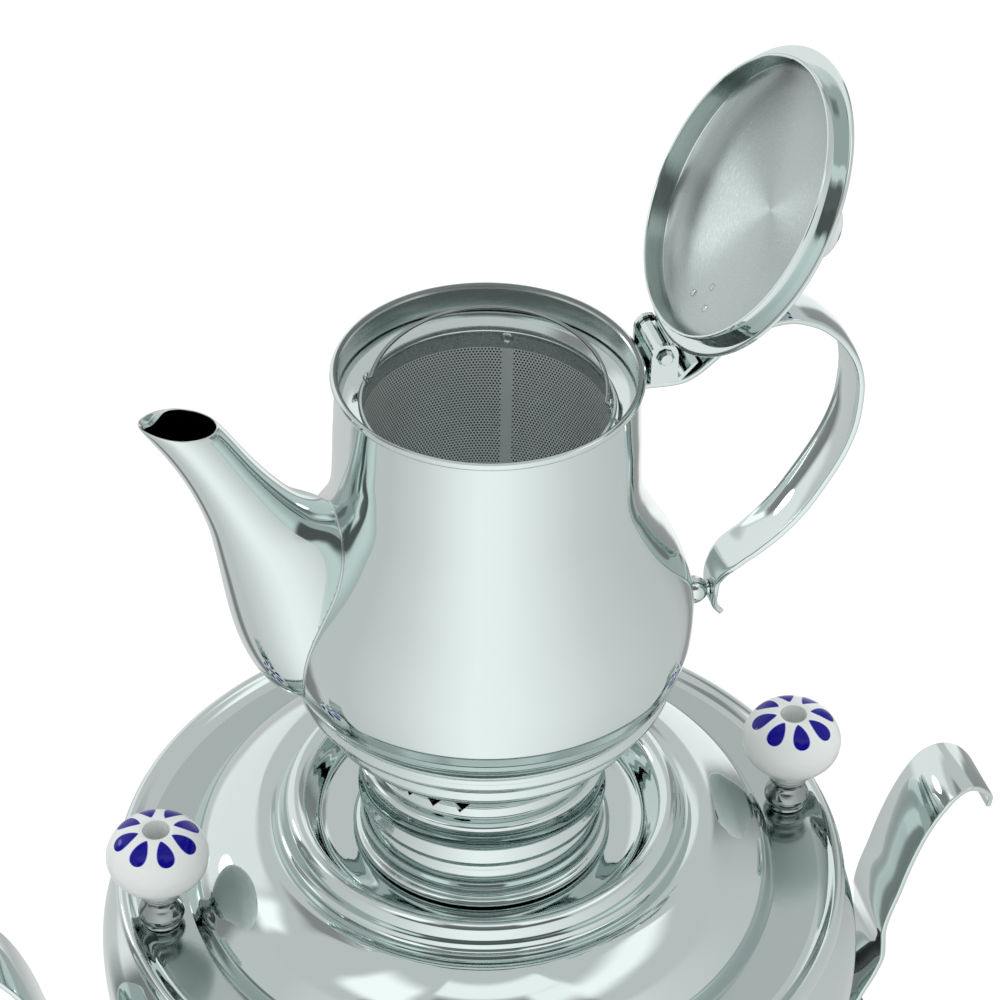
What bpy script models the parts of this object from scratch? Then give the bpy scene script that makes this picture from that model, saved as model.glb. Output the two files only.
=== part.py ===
"""Electric samovar with a teapot on its crown.

Metres, +Z up. The origin is the centre of the bottom cover's underside, on the
vessel's axis. The side handles, the two knobs on the samovar's lid, the teapot's
spout (-X) and the teapot's handle (+X) lie along X. The tap faces -Y.
The teapot's lid stands open, and the tap is shut.
"""
import bpy
import bmesh
import math
from mathutils import Matrix, Vector

for item in list(bpy.data.objects):
    bpy.data.objects.remove(item, do_unlink=True)

# Clearances, and the facets of round pieces
seat_gap = 0.0003
pivot_gap = 0.00025
running_gap = 0.0011
cut_overrun = 0.004
inner_tolerance = 0.0007
large_facets = 24
middle_facets = 20
small_facets = 12
tiny_facets = 8

# Base, with the control dial in front and the power inlet behind
base_radius = 0.089
base_height = 0.0577
base_wall = 0.0016
base_throat_radius = 0.032
cover_thickness = 0.002
cover_rib_wall = 0.0015
cover_rib_height = 0.004
cover_pad_radius = 0.040
cover_pad_rise = 0.0004
foot_count = 4
foot_radius = 0.010
foot_height = 0.003
foot_circle_radius = 0.070
fitting_level_share = 0.29
dial_radius = 0.0104
dial_depth = 0.011
dial_bar_width = 0.004
shaft_radius = 0.003
thermostat_radius = 0.0095
thermostat_length = 0.020
lamp_radius = 0.0042
lamp_proud = 0.0022
lamp_stem_radius = 0.003
inlet_width = 0.026
inlet_height = 0.016
inlet_depth = 0.020
inlet_border = 0.0022
inlet_flange = 0.002
inlet_wall = 0.002
inlet_pin_size = 0.002
inlet_pin_length = 0.012
inlet_pin_pitch = 0.0065

# Pedestal between the base and the vessel
pedestal_radius = 0.054
pedestal_height = 0.0274
pedestal_bore_radius = 0.036
pedestal_wall = 0.0016

# Vessel, its heater and the boil-dry cut-out under its floor
vessel_radius = 0.1204
vessel_height = 0.1614
vessel_wall = 0.0014
vessel_neck_height = 0.0045
vessel_bead_radius = 0.0017
heater_radius = 0.0036
heater_loop_radius = 0.062
heater_level = 0.022
heater_leg_radius = 0.022
heater_bend_radius = 0.007
heater_tail = 0.014
heater_nut_radius = 0.0075
heater_nut_height = 0.005
cutout_radius = 0.008
cutout_height = 0.006

# Lid of the samovar, with its two porcelain knobs
lid_overhang = 0.0064
lid_rise = 0.0302
lid_wall = 0.0012
lid_bead_radius = 0.0026
lid_ring_height = 0.010
lid_ring_wall = 0.0012
knob_inset = 0.0127
knob_radius = 0.0157
knob_height = 0.0252
knob_well_depth = 0.013
ferrule_radius = 0.0073
ferrule_height = 0.012
screw_radius = 0.0018
screw_head_height = 0.0022
nut_radius = 0.0042
nut_height = 0.003

# Crown that carries the teapot, with its diamond vents
crown_radius = 0.040
crown_height = 0.045
crown_wall = 0.0012
crown_throat_radius = 0.028
spigot_depth = 0.005
vent_width = 0.0066
vent_height = 0.008
gallery_radius = 0.0514
gallery_depth = 0.0162
gallery_wall = 0.0014

# Teapot
teapot_radius = 0.062
teapot_height = 0.1173
teapot_wall = 0.001
teapot_foot_height = 0.007
rim_bead_radius = 0.0012
ledge_width = 0.002
ledge_drop = 0.0101
spout_reach = 0.0996
spout_wall = 0.001
pour_hole_radius = 0.009
strap_reach = 0.1104
strap_width = 0.018
strap_thickness = 0.0018
spacer_neck_radius = 0.0024
rivet_radius = 0.0014
rivet_head_radius = 0.0027
rivet_head_height = 0.0012

# Teapot's lid and its hinge
lid_flange_overhang = 0.0007
lid_flange_thickness = 0.0012
teapot_lid_rise = 0.0087
teapot_lid_wall = 0.0009
lid_skirt_depth = 0.0045
small_knob_radius = 0.011
small_knob_height = 0.0177
small_ferrule_height = 0.002
hinge_rise = 0.0013
lid_open_angle = math.radians(120.4)
barrel_radius = 0.003
barrel_width = 0.0138
pin_radius = 0.0015
pin_head_radius = 0.0026
pin_head_thickness = 0.0012
cheek_radius = 0.004
cheek_thickness = 0.0014
bracket_floor = 0.0012
bracket_length = 0.009
tab_length = 0.005
tab_rise = 0.0055
tongue_thickness = 0.0012

# Infuser that hangs in the teapot's mouth, and its bail
infuser_fit = 0.0005
infuser_side_gap = 0.0042
infuser_depth = 0.0596
infuser_wall = 0.0008
infuser_rim_thickness = 0.0008
bail_side_gap = 0.0016
bail_wire_radius = 0.0009
bail_lean = math.radians(10)
bail_turn = math.radians(-25.4)
eyelet_radius = 0.0021
eyelet_width = 0.002
eyelet_bore_radius = 0.0012

# Side handles: a strap that curls into a leaf, a ringed grip and a lower arm
grip_top_reach = 0.006
grip_top_drop = 0.0724
grip_radius = 0.0085
grip_length = 0.0841
grip_lean = math.radians(13.1)
grip_stud_radius = 0.002
grip_ring_count = 5
grip_ring_depth = 0.0007
leaf_width = 0.027
leaf_thickness = 0.0018
leaf_reach = 0.0412
leaf_rise = 0.0888
arm_width = 0.015
arm_tip = 0.0095
upper_foot_drop = 0.022
upper_foot_length = 0.014
lower_foot_rise = 0.019
lower_foot_length = 0.009
foot_post_radius = 0.005

# Tap
tap_level = 0.041
rosette_radius = 0.0145
rosette_thickness = 0.0075
shank_radius = 0.0065
shank_bore_radius = 0.004
barrel_reach = 0.027
tap_barrel_radius = 0.0098
tap_barrel_height = 0.030
plug_radius = 0.0066
plug_taper = 0.0008
plug_bore_radius = 0.0034
nozzle_radius = 0.006
nozzle_reach = 0.026
nozzle_drop = 0.028
lever_length = 0.027
lever_radius = 0.0024
lever_rise = 0.010
hub_radius = 0.0068
hub_height = 0.006
lever_knob_radius = 0.0095
lever_knob_height = 0.0155
tap_nut_radius = 0.0105
tap_nut_thickness = 0.004
tap_seal_thickness = 0.002
keeper_radius = 0.006
keeper_height = 0.004

# Outlines as shares of each piece's radius and height, from top to bottom
base_shares = [(0.562, 1.0), (0.593, 0.976), (0.58, 0.92), (0.629, 0.809), (0.742, 0.679), (0.876, 0.598),
               (0.966, 0.549), (0.978, 0.504), (0.955, 0.473), (0.955, 0.106), (0.993, 0.057), (1.0, 0.0)]
pedestal_shares = [(1.0, 1.0), (0.989, 0.912), (0.87, 0.79), (0.798, 0.53), (0.861, 0.226),
                   (0.974, 0.088), (0.963, 0.0)]
vessel_shares = [(0.902, 1.0), (0.94, 0.978), (0.983, 0.942), (1.0, 0.886), (0.997, 0.824), (0.972, 0.706),
                 (0.885, 0.384), (0.835, 0.254), (0.772, 0.155), (0.681, 0.084), (0.565, 0.028), (0.465, 0.0)]
lid_shares = [(0.287, 0.563), (0.391, 0.573), (0.439, 0.642), (0.468, 0.86), (0.504, 1.0), (0.534, 0.88),
              (0.552, 0.742), (0.597, 0.801), (0.645, 0.745), (0.7, 0.62), (0.748, 0.464), (0.783, 0.272),
              (0.806, 0.0), (0.953, 0.0)]
crown_shares = [(0.875, 1.0), (0.855, 0.853), (0.87, 0.72), (0.96, 0.675), (0.915, 0.533), (0.95, 0.39),
                (0.955, 0.351), (0.875, 0.335), (0.94, 0.18), (0.93, 0.071), (1.0, 0.027), (0.96, 0.0)]
gallery_shares = [(1.0, 1.0), (0.977, 0.778), (0.981, 0.58), (0.957, 0.407), (0.817, 0.198), (0.681, 0.0)]
teapot_shares = [(0.7, 0.962), (0.71, 0.819), (0.719, 0.683), (0.745, 0.606), (0.816, 0.525), (0.919, 0.436),
                 (0.987, 0.342), (1.0, 0.265), (0.987, 0.205), (0.955, 0.15), (0.908, 0.107), (0.918, 0.086),
                 (0.894, 0.063)]
teapot_lid_shares = [(0.0, 1.0), (0.309, 0.954), (0.596, 0.8), (0.795, 0.56), (0.883, 0.32), (0.914, 0.06)]
infuser_shares = [(1.0, 1.0), (0.989, 0.852), (0.956, 0.081), (0.906, 0.013), (0.0, 0.0)]
porcelain_shares = [(0.268, 1.0), (0.535, 0.976), (0.79, 0.873), (0.955, 0.714), (1.0, 0.556), (0.955, 0.413),
                    (0.803, 0.262), (0.611, 0.119), (0.446, 0.0)]
ferrule_shares = [(0.945, 1.0), (0.945, 0.933), (0.712, 0.85), (0.63, 0.717), (0.767, 0.583), (1.0, 0.283),
                  (0.945, 0.0)]
grip_neck_shares = [(0.0, 0.0), (0.36, 0.012), (0.42, 0.04), (0.42, 0.1), (0.34, 0.13), (0.34, 0.25),
                    (0.6, 0.265), (0.62, 0.285)]
grip_body_shares = [(0.5, 0.31), (0.56, 0.4), (0.76, 0.52), (0.96, 0.64), (1.0, 0.72), (0.94, 0.81),
                    (0.72, 0.9), (0.56, 0.95)]
grip_end_shares = [(0.6, 0.965), (0.55, 1.0)]
vent_level_share = 0.842
pour_level_share = 0.38
grip_crossing_share = 0.189
lip_point_share = 0.3
# Centre lines as shares of a reach and a height
strap_shares = [(0.36, 0.924), (0.497, 0.924), (0.574, 0.969), (0.661, 1.029), (0.761, 1.058), (0.842, 1.041),
                (0.906, 1.0), (0.958, 0.94), (0.991, 0.87), (1.0, 0.797), (0.993, 0.708), (0.964, 0.62),
                (0.917, 0.535), (0.861, 0.453), (0.797, 0.384), (0.739, 0.338), (0.688, 0.303),
                (0.658, 0.267),
                (0.645, 0.226), (0.645, 0.18), (0.676, 0.125)]
leaf_shares = [(1.0, 0.852), (0.932, 0.952), (0.752, 1.0), (0.534, 0.923), (0.364, 0.754), (0.243, 0.547),
               (0.155, 0.36), (0.17, 0.214), (0.036, 0.046), (0.0, 0.0)]
leaf_root_shares = [(0.4, 0.42), (0.08, 0.62)]
arm_tip_shares = [(1.25, 1.0), (1.15, 0.45), (0.85, 0.1), (0.5, 0.0), (0.0, 0.0), (-0.9, 0.0)]
arm_run_shares = [(0.55, 0.1), (0.85, 0.36), (1.0, 0.62)]
# Spout sections: outer side (reach, height), inner side (reach, height), half width
spout_shares = [(0.588, 0.137, 0.4, 0.137, 0.08), (0.662, 0.172, 0.36, 0.172, 0.16),
                (0.71, 0.231, 0.34, 0.231, 0.19), (0.757, 0.35, 0.34, 0.35, 0.196),
                (0.783, 0.512, 0.36, 0.53, 0.184), (0.799, 0.61, 0.44, 0.65, 0.15),
                (0.812, 0.672, 0.53, 0.672, 0.124), (0.848, 0.768, 0.61, 0.745, 0.1),
                (0.893, 0.853, 0.69, 0.835, 0.086), (0.945, 0.93, 0.745, 0.912, 0.08),
                (1.0, 1.0, 0.786, 0.962, 0.076)]


def finish(name, colour, roughness, metallic):
    """A plain finish that pieces are made in."""
    material = bpy.data.materials.new(name)
    material.use_nodes = True
    shader = material.node_tree.nodes["Principled BSDF"]
    shader.inputs["Base Color"].default_value = (*colour, 1.0)
    shader.inputs["Roughness"].default_value = roughness
    shader.inputs["Metallic"].default_value = metallic
    return material


polished_steel = finish("polished_steel", (0.74, 0.77, 0.76), 0.06, 1.0)
brushed_steel = finish("brushed_steel", (0.62, 0.64, 0.63), 0.32, 1.0)
porcelain = finish("porcelain", (0.92, 0.92, 0.89), 0.12, 0.0)
grip_plastic = finish("grip_plastic", (0.075, 0.08, 0.085), 0.45, 0.0)
black_plastic = finish("black_plastic", (0.03, 0.03, 0.032), 0.4, 0.0)
rubber = finish("rubber", (0.025, 0.025, 0.025), 0.8, 0.0)
heater_sheath = finish("heater_sheath", (0.4, 0.39, 0.37), 0.4, 1.0)
lamp_lens = finish("lamp_lens", (0.75, 0.12, 0.03), 0.15, 0.0)
plated_brass = finish("plated_brass", (0.7, 0.72, 0.7), 0.12, 1.0)


def make(name, data, model, smooth_angle=math.radians(38)):
    """Turn finished mesh data into a named object in its own copy of a finish."""
    bmesh.ops.recalc_face_normals(data, faces=data.faces)
    mesh = bpy.data.meshes.new(name)
    data.to_mesh(mesh)
    data.free()
    mesh.shade_smooth()
    mesh.set_sharp_from_angle(angle=smooth_angle)
    piece = bpy.data.objects.new(name, mesh)
    bpy.context.scene.collection.objects.link(piece)
    if model is None:
        piece.hide_render = True
        piece.display_type = "WIRE"
    else:
        own_finish = model.copy()
        own_finish.name = name + "_finish"
        mesh.materials.append(own_finish)
    return piece


def put(piece, place=(0.0, 0.0, 0.0), turn=(0.0, 0.0, 0.0), carrier=None):
    """Place a piece by location and rotation, on a carrier if it has one."""
    piece.location = place
    piece.rotation_euler = turn
    piece.parent = carrier
    return piece


def axis_empty(name, place, turn=(0.0, 0.0, 0.0), carrier=None):
    """An empty on a joint's axis, which carries the pieces that move there."""
    empty = bpy.data.objects.new(name, None)
    bpy.context.scene.collection.objects.link(empty)
    return put(empty, place, turn, carrier)


def scaled(shares, radius, height):
    """An outline in real sizes from shares of a radius and a height."""
    return [(across * radius, up * height) for across, up in shares]


def radius_at(outline, level):
    """Radius of an outline, given from top to bottom, at a level."""
    for (upper_radius, upper), (lower_radius, lower) in zip(outline, outline[1:]):
        if lower <= level <= upper and upper > lower:
            share = (level - lower) / (upper - lower)
            return lower_radius + share * (upper_radius - lower_radius)
    return outline[-1][0]


def offset_line(line, distance):
    """A line moved sideways, to its right for a positive distance."""
    moved = []
    for index, (across, up) in enumerate(line):
        normals = []
        for start, end in ((index - 1, index), (index, index + 1)):
            if start >= 0 and end < len(line):
                run = Vector(line[end]) - Vector(line[start])
                run.normalize()
                normals.append(Vector((run.y, -run.x)))
        step = normals[0]
        if len(normals) == 2:
            step = (normals[0] + normals[1]) / max(1.0 + normals[0].dot(normals[1]), 0.5)
        moved.append((max(across + step.x * distance, 0.0), up + step.y * distance))
    return moved


def thinned(line, tolerance):
    """Leave out the points that a straight run passes within a tolerance."""
    if len(line) < 3:
        return line
    start = Vector(line[0])
    run = Vector(line[-1]) - start
    misses = [abs(run.x * (up - start.y) - run.y * (across - start.x)) / run.length for across,
              up in line[1:-1]]
    worst = max(range(len(misses)), key=misses.__getitem__)
    if misses[worst] <= tolerance:
        return [line[0], line[-1]]
    return thinned(line[:worst + 2], tolerance)[:-1] + thinned(line[worst + 1:], tolerance)


def inner_line(line, wall):
    """The inner side of a sheet that follows a line, its ends cut level or upright."""
    inner = offset_line(line, wall)
    for end, beside in ((0, 1), (-1, -2)):
        if abs(line[end][1] - line[beside][1]) > abs(line[end][0] - line[beside][0]):
            inner[end] = (inner[end][0], line[end][1])
        else:
            inner[end] = (line[end][0], inner[end][1])
    return thinned(inner, inner_tolerance)


def sheet(line, wall):
    """A closed outline of sheet metal that follows a line, its wall to the right."""
    return line + inner_line(line, wall)[::-1]


def arc(centre, radius, start, end, count):
    """Points along an arc of a circle in an outline."""
    angles = [start + (end - start) * step / count for step in range(count + 1)]
    return [(centre[0] + radius * math.cos(angle), centre[1] + radius * math.sin(angle)) for angle in angles]


def turned(name, outline, facets, model, start_angle=0.0):
    """Spin a closed outline about the piece's own Z."""
    data = bmesh.new()
    corners = [data.verts.new((across * math.cos(start_angle), across * math.sin(start_angle), up))
               for across, up in outline]
    edges = [data.edges.new((corners[index - 1], corners[index])) for index in range(len(corners))]
    bmesh.ops.spin(data, geom=corners + edges, cent=(0.0, 0.0, 0.0), axis=(0.0, 0.0, 1.0),
                   angle=math.tau, steps=facets, use_merge=True)
    bmesh.ops.remove_doubles(data, verts=data.verts, dist=seat_gap / facets)
    bare_edges = [edge for edge in data.edges if not edge.link_faces]
    bmesh.ops.delete(data, geom=bare_edges, context="EDGES")
    return make(name, data, model)


def round_bar(name, radius, bottom, top, facets, model=None):
    """A straight round bar along its own Z."""
    return turned(name, [(0.0, bottom), (radius, bottom), (radius, top), (0.0, top)], facets, model)


def drill(name, radius, bottom, top, facets=tiny_facets):
    """A cutter along its own Z that leaves at least the named radius open."""
    wide = radius / math.cos(math.pi / facets)
    outline = [(0.0, bottom), (wide, bottom), (wide, top), (0.0, top)]
    return turned(name, outline, facets, None, math.pi / facets)


def ring(name, outer, inner, bottom, top, facets, model):
    """A plain ring about its own Z."""
    return turned(name, [(outer, top), (outer, bottom), (inner, bottom), (inner, top)], facets, model)


def hexagon_nut(name, radius, bore, bottom, top, model):
    """A six-sided nut with a round bore."""
    nut = ring(name, radius, bore, bottom, top, 12, model)
    for corner in nut.data.vertices:
        side = round(math.degrees(math.atan2(corner.co.y, corner.co.x)) / 30)
        if side % 2 and corner.co.xy.length > (radius + bore) / 2:
            corner.co.x *= math.cos(math.pi / 6)
            corner.co.y *= math.cos(math.pi / 6)
    nut.data.shade_flat()
    return nut


def extruded(name, outline, width, model, middle=0.0):
    """An outline in X and Z, extruded evenly to both sides of a middle in Y."""
    data = bmesh.new()
    face = data.faces.new([data.verts.new((across, middle - width / 2, up)) for across, up in outline])
    grown = bmesh.ops.extrude_face_region(data, geom=[face], use_keep_orig=True)
    moved = [item for item in grown["geom"] if isinstance(item, bmesh.types.BMVert)]
    bmesh.ops.translate(data, verts=moved, vec=(0.0, width, 0.0))
    return make(name, data, model)


def block(name, size, centre, model=None):
    """A rectangular block."""
    data = bmesh.new()
    bmesh.ops.create_cube(data, size=1.0, matrix=Matrix.Translation(centre) @ Matrix.Diagonal((*size, 1.0)))
    return make(name, data, model)


def skin(data, rings):
    """Skin a row of rings and close both ends."""
    for lower, upper in zip(rings, rings[1:]):
        for step in range(len(lower)):
            after = (step + 1) % len(lower)
            data.faces.new((lower[step], lower[after], upper[after], upper[step]))
    data.faces.new(rings[0][::-1])
    data.faces.new(rings[-1])


def ribbon(name, line, width, thickness, model):
    """A flat bar bent along a line in X and Z."""
    data = bmesh.new()
    rings = []
    for left, right in zip(offset_line(line, -thickness / 2), offset_line(line, thickness / 2)):
        corners = ((left, -width / 2), (left, width / 2), (right, width / 2), (right, -width / 2))
        rings.append([data.verts.new((edge[0], side, edge[1])) for edge, side in corners])
    skin(data, rings)
    return make(name, data, model)


def tube(name, path, radius, facets, model):
    """A round bar that follows a path through space."""
    data = bmesh.new()
    points = [Vector(point) for point in path]
    rings = []
    side = (points[1] - points[0]).orthogonal().normalized()
    for index, point in enumerate(points):
        ahead = (points[min(index + 1, len(points) - 1)] - points[max(index - 1, 0)]).normalized()
        side = (side - ahead * side.dot(ahead)).normalized()
        across = ahead.cross(side)
        angles = [math.tau * step / facets for step in range(facets)]
        rings.append([data.verts.new(point + radius * (math.cos(angle) * side + math.sin(angle) * across))
                      for angle in angles])
    skin(data, rings)
    return make(name, data, model)


def cut(piece, cutter, operation="DIFFERENCE"):
    """Cut a piece by a cutter, or join the cutter to it."""
    change = piece.modifiers.new(cutter.name, "BOOLEAN")
    change.operation = operation
    change.solver = "EXACT"
    change.object = cutter
    return piece


along_x = (0.0, math.pi / 2, 0.0)
towards_front = (math.pi / 2, 0.0, 0.0)

# Levels and radii that follow from the pieces below
base_level = cover_thickness + seat_gap
pedestal_level = base_level + base_height + seat_gap
vessel_level = pedestal_level + pedestal_height + seat_gap
vessel_top = vessel_level + vessel_height + vessel_neck_height
lid_level = vessel_top + seat_gap + lid_bead_radius
base_line = [(base_throat_radius, base_height)] + scaled(base_shares, base_radius, base_height)
band_radius = base_shares[8][0] * base_radius
vessel_line = scaled(vessel_shares, vessel_radius, vessel_height)
lid_radius = vessel_line[0][0] + lid_overhang
lid_line = scaled(lid_shares, lid_radius, lid_rise)
crown_level = lid_level + lid_line[1][1] + seat_gap
crown_line = scaled(crown_shares, crown_radius, crown_height)
gallery_level = crown_level + crown_height + seat_gap
gallery_line = scaled(gallery_shares, gallery_radius, gallery_depth)
teapot_level = gallery_level + gallery_depth + seat_gap - teapot_foot_height

# Bottom cover, its locating rib and the rubber feet
rib_outer = band_radius - base_wall - running_gap
rib_inner = rib_outer - cover_rib_wall
cover_outline = [(0.0, cover_thickness), (rib_inner, cover_thickness),
                 (rib_inner, cover_thickness + cover_rib_height),
                 (rib_outer, cover_thickness + cover_rib_height),
                 (rib_outer, cover_thickness), (base_radius, cover_thickness),
                 (base_radius - cover_thickness / 2, cover_pad_rise),
                 (cover_pad_radius + cover_pad_rise, cover_pad_rise), (cover_pad_radius, 0.0), (0.0, 0.0)]
turned("bottom_cover", cover_outline, large_facets, brushed_steel)
foot_top = cover_pad_rise - seat_gap
foot_outline = [(0.0, foot_top), (foot_radius, foot_top), (foot_radius - foot_height / 3, -foot_height),
                (0.0, -foot_height)]
for number in range(foot_count):
    angle = math.tau * (number + 0.5) / foot_count
    foot = turned("rubber_foot_" + str(number + 1), foot_outline, small_facets, rubber)
    put(foot, (foot_circle_radius * math.cos(angle), foot_circle_radius * math.sin(angle), 0.0))

# Base housing with the windows for the dial's shaft, the lamp and the power inlet
fitting_level = base_level + fitting_level_share * base_height
flat_share = math.cos(math.pi / large_facets)
base_housing = put(turned("base_housing", sheet(base_line, base_wall), large_facets, polished_steel),
                   (0.0, 0.0, base_level))
shaft_window = drill("shaft_window", shaft_radius + running_gap, band_radius - base_wall - cut_overrun,
                         band_radius + cut_overrun, tiny_facets)
put(shaft_window, (0.0, 0.0, fitting_level), towards_front)
cut(base_housing, shaft_window)
lamp_turn = (math.pi / 2, 0.0, 2 * math.tau / large_facets)
lamp_window = drill("lamp_window", lamp_stem_radius + pivot_gap, band_radius - base_wall - cut_overrun,
                        band_radius + cut_overrun, tiny_facets)
put(lamp_window, (0.0, 0.0, fitting_level), lamp_turn)
cut(base_housing, lamp_window)
inlet_window = block("inlet_window", (inlet_width + 2 * seat_gap, inlet_depth, inlet_height + 2 * seat_gap),
                     (0.0, band_radius, fitting_level))
cut(base_housing, inlet_window)

# Dial with its shaft, the thermostat behind it, and the lamp
dial_axis = axis_empty("dial_axis", (0.0, -band_radius - 2 * seat_gap, fitting_level), towards_front)
dial_outline = [(0.0, dial_depth), (dial_radius - dial_depth / 4, dial_depth),
                (dial_radius - dial_depth / 8, dial_depth - dial_depth / 8), (dial_radius, 0.0),
                (shaft_radius + pivot_gap, 0.0), (shaft_radius + pivot_gap, dial_depth / 2),
                (0.0, dial_depth / 2)]
dial = put(turned("control_dial", dial_outline, 2 * tiny_facets, black_plastic), carrier=dial_axis)
dial_bar = block("dial_bar", (dial_bar_width, 2 * (dial_radius - dial_depth / 3), dial_depth),
                 (0.0, 0.0, dial_depth))
put(dial_bar, carrier=dial_axis)
cut(dial, dial_bar, "UNION")
thermostat_wall = (band_radius - base_wall) * flat_share
thermostat_front = math.sqrt(thermostat_wall ** 2 - thermostat_radius ** 2) - seat_gap
shaft_end = thermostat_front + seat_gap - band_radius - thermostat_length / 2
dial_shaft = round_bar("control_shaft", shaft_radius, shaft_end, dial_depth / 2 - seat_gap, tiny_facets,
                       brushed_steel)
put(dial_shaft, carrier=dial_axis)
thermostat_outline = [(thermostat_radius, thermostat_front),
                      (thermostat_radius, thermostat_front - thermostat_length),
                      (0.0, thermostat_front - thermostat_length),
                      (0.0, thermostat_front - 2 * thermostat_length / 3),
                      (shaft_radius + pivot_gap, thermostat_front - 2 * thermostat_length / 3),
                      (shaft_radius + pivot_gap, thermostat_front)]
put(turned("thermostat", thermostat_outline, small_facets, brushed_steel), (0.0, 0.0, fitting_level),
    towards_front)
lamp_outline = [(0.0, band_radius + seat_gap + lamp_proud),
                (2 * lamp_radius / 3, band_radius + seat_gap + 4 * lamp_proud / 5),
                (lamp_radius, band_radius + seat_gap + lamp_proud / 3), (lamp_radius, band_radius + seat_gap),
                (lamp_stem_radius, band_radius + seat_gap),
                (lamp_stem_radius, band_radius - base_wall - lamp_proud),
                (0.0, band_radius - base_wall - lamp_proud)]
put(turned("power_lamp", lamp_outline, small_facets, lamp_lens), (0.0, 0.0, fitting_level), lamp_turn)

# Power inlet: a flanged socket with three pins
inlet_face = band_radius + seat_gap + inlet_flange
power_inlet = block("power_inlet", (inlet_width + 2 * inlet_border, inlet_flange,
                                    inlet_height + 2 * inlet_border),
                    (0.0, inlet_face - inlet_flange / 2, fitting_level), black_plastic)
inlet_body = block("inlet_body", (inlet_width, inlet_depth, inlet_height),
                   (0.0, inlet_face - inlet_flange / 2 - inlet_depth / 2, fitting_level))
cut(power_inlet, inlet_body, "UNION")
inlet_cavity = block("inlet_cavity", (inlet_width - 2 * inlet_wall, inlet_depth,
                                      inlet_height - 2 * inlet_wall),
                     (0.0, inlet_face + inlet_wall - inlet_depth / 2, fitting_level))
cut(power_inlet, inlet_cavity)
for number in (-1, 0, 1):
    pin = block("inlet_pin_" + str(number + 2),
                (inlet_pin_size, inlet_pin_length + inlet_wall, 2 * inlet_pin_size),
                (number * inlet_pin_pitch, inlet_face + inlet_wall / 2 - inlet_depth + inlet_pin_length / 2,
                 fitting_level))
    cut(power_inlet, pin, "UNION")

# Pedestal
pedestal_line = scaled(pedestal_shares, pedestal_radius, pedestal_height)
pedestal_line = [(pedestal_bore_radius, pedestal_height)] + pedestal_line + [(pedestal_bore_radius, 0.0)]
put(turned("pedestal", sheet(pedestal_line, pedestal_wall), large_facets, polished_steel),
    (0.0, 0.0, pedestal_level))

# Vessel with its rolled rim
vessel_bead_centre = (lid_radius - lid_bead_radius, vessel_height + vessel_neck_height - vessel_bead_radius)
vessel_rim = arc(vessel_bead_centre, vessel_bead_radius, math.pi, math.radians(-110), 5)
vessel_wall_line = vessel_line + [(0.0, 0.0)]
vessel_outline = vessel_rim + vessel_wall_line + thinned(offset_line(vessel_wall_line, vessel_wall),
                                                         inner_tolerance)[::-1]
vessel = put(turned("vessel", vessel_outline, large_facets, polished_steel), (0.0, 0.0, vessel_level))
vessel_core_line = offset_line(vessel_line, -seat_gap)
vessel_core = turned("vessel_core", [(0.0, vessel_height)] + vessel_core_line + [(0.0, 0.0)], large_facets,
                     None)
put(vessel_core, (0.0, 0.0, vessel_level))
vessel_hollow_line = offset_line(vessel_line, vessel_wall + seat_gap)
vessel_hollow = turned("vessel_hollow", [(0.0, vessel_height)] + vessel_hollow_line + [(0.0, vessel_wall)],
                       large_facets, None)
put(vessel_hollow, (0.0, 0.0, vessel_level))

# Heater: one loop with two legs through the floor, clamped by nuts; the cut-out is between them
leg_side = heater_nut_radius + running_gap
leg_foot = math.sqrt(heater_leg_radius ** 2 - leg_side ** 2)
heater_path = [(leg_foot, -leg_side, -heater_tail), (leg_foot, -leg_side, 0.0),
               (leg_foot, -leg_side, heater_level - heater_bend_radius)]
heater_path += [(leg_foot + heater_bend_radius * (1 - math.cos(angle)), -leg_side,
                 heater_level - heater_bend_radius * (1 - math.sin(angle)))
                for angle in (math.pi / 6, math.pi / 3, math.pi / 2)]
loop_start = (leg_side + heater_bend_radius) / heater_loop_radius
heater_path.append((heater_loop_radius - 1.5 * heater_bend_radius, -leg_side, heater_level))
heater_path.append((heater_loop_radius - 0.6 * heater_bend_radius, -leg_side - 0.25 * heater_bend_radius,
                    heater_level))
loop_steps = 16
for step in range(loop_steps + 1):
    angle = -loop_start - (math.tau - 2 * loop_start) * step / loop_steps
    heater_path.append((heater_loop_radius * math.cos(angle), heater_loop_radius * math.sin(angle),
                        heater_level))
heater_path += [(across, -side, up) for across, side, up in heater_path[7::-1]]
heater = put(tube("heating_element", heater_path, heater_radius, 6, heater_sheath), (0.0, 0.0, vessel_level))
for number, side in ((1, -leg_side), (2, leg_side)):
    leg_window = drill("leg_window_" + str(number), heater_radius + pivot_gap, -cut_overrun,
                           vessel_wall + cut_overrun, tiny_facets)
    put(leg_window, (leg_foot, side, vessel_level))
    cut(vessel, leg_window)
    heater_nut = hexagon_nut("heater_nut_" + str(number), heater_nut_radius, heater_radius + pivot_gap,
                             -seat_gap - heater_nut_height, -seat_gap, plated_brass)
    put(heater_nut, (leg_foot, side, vessel_level))
cutout = round_bar("boil_dry_cutout", cutout_radius, -seat_gap - cutout_height, -seat_gap, small_facets,
                   black_plastic)
put(cutout, (0.0, 0.0, vessel_level))

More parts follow.
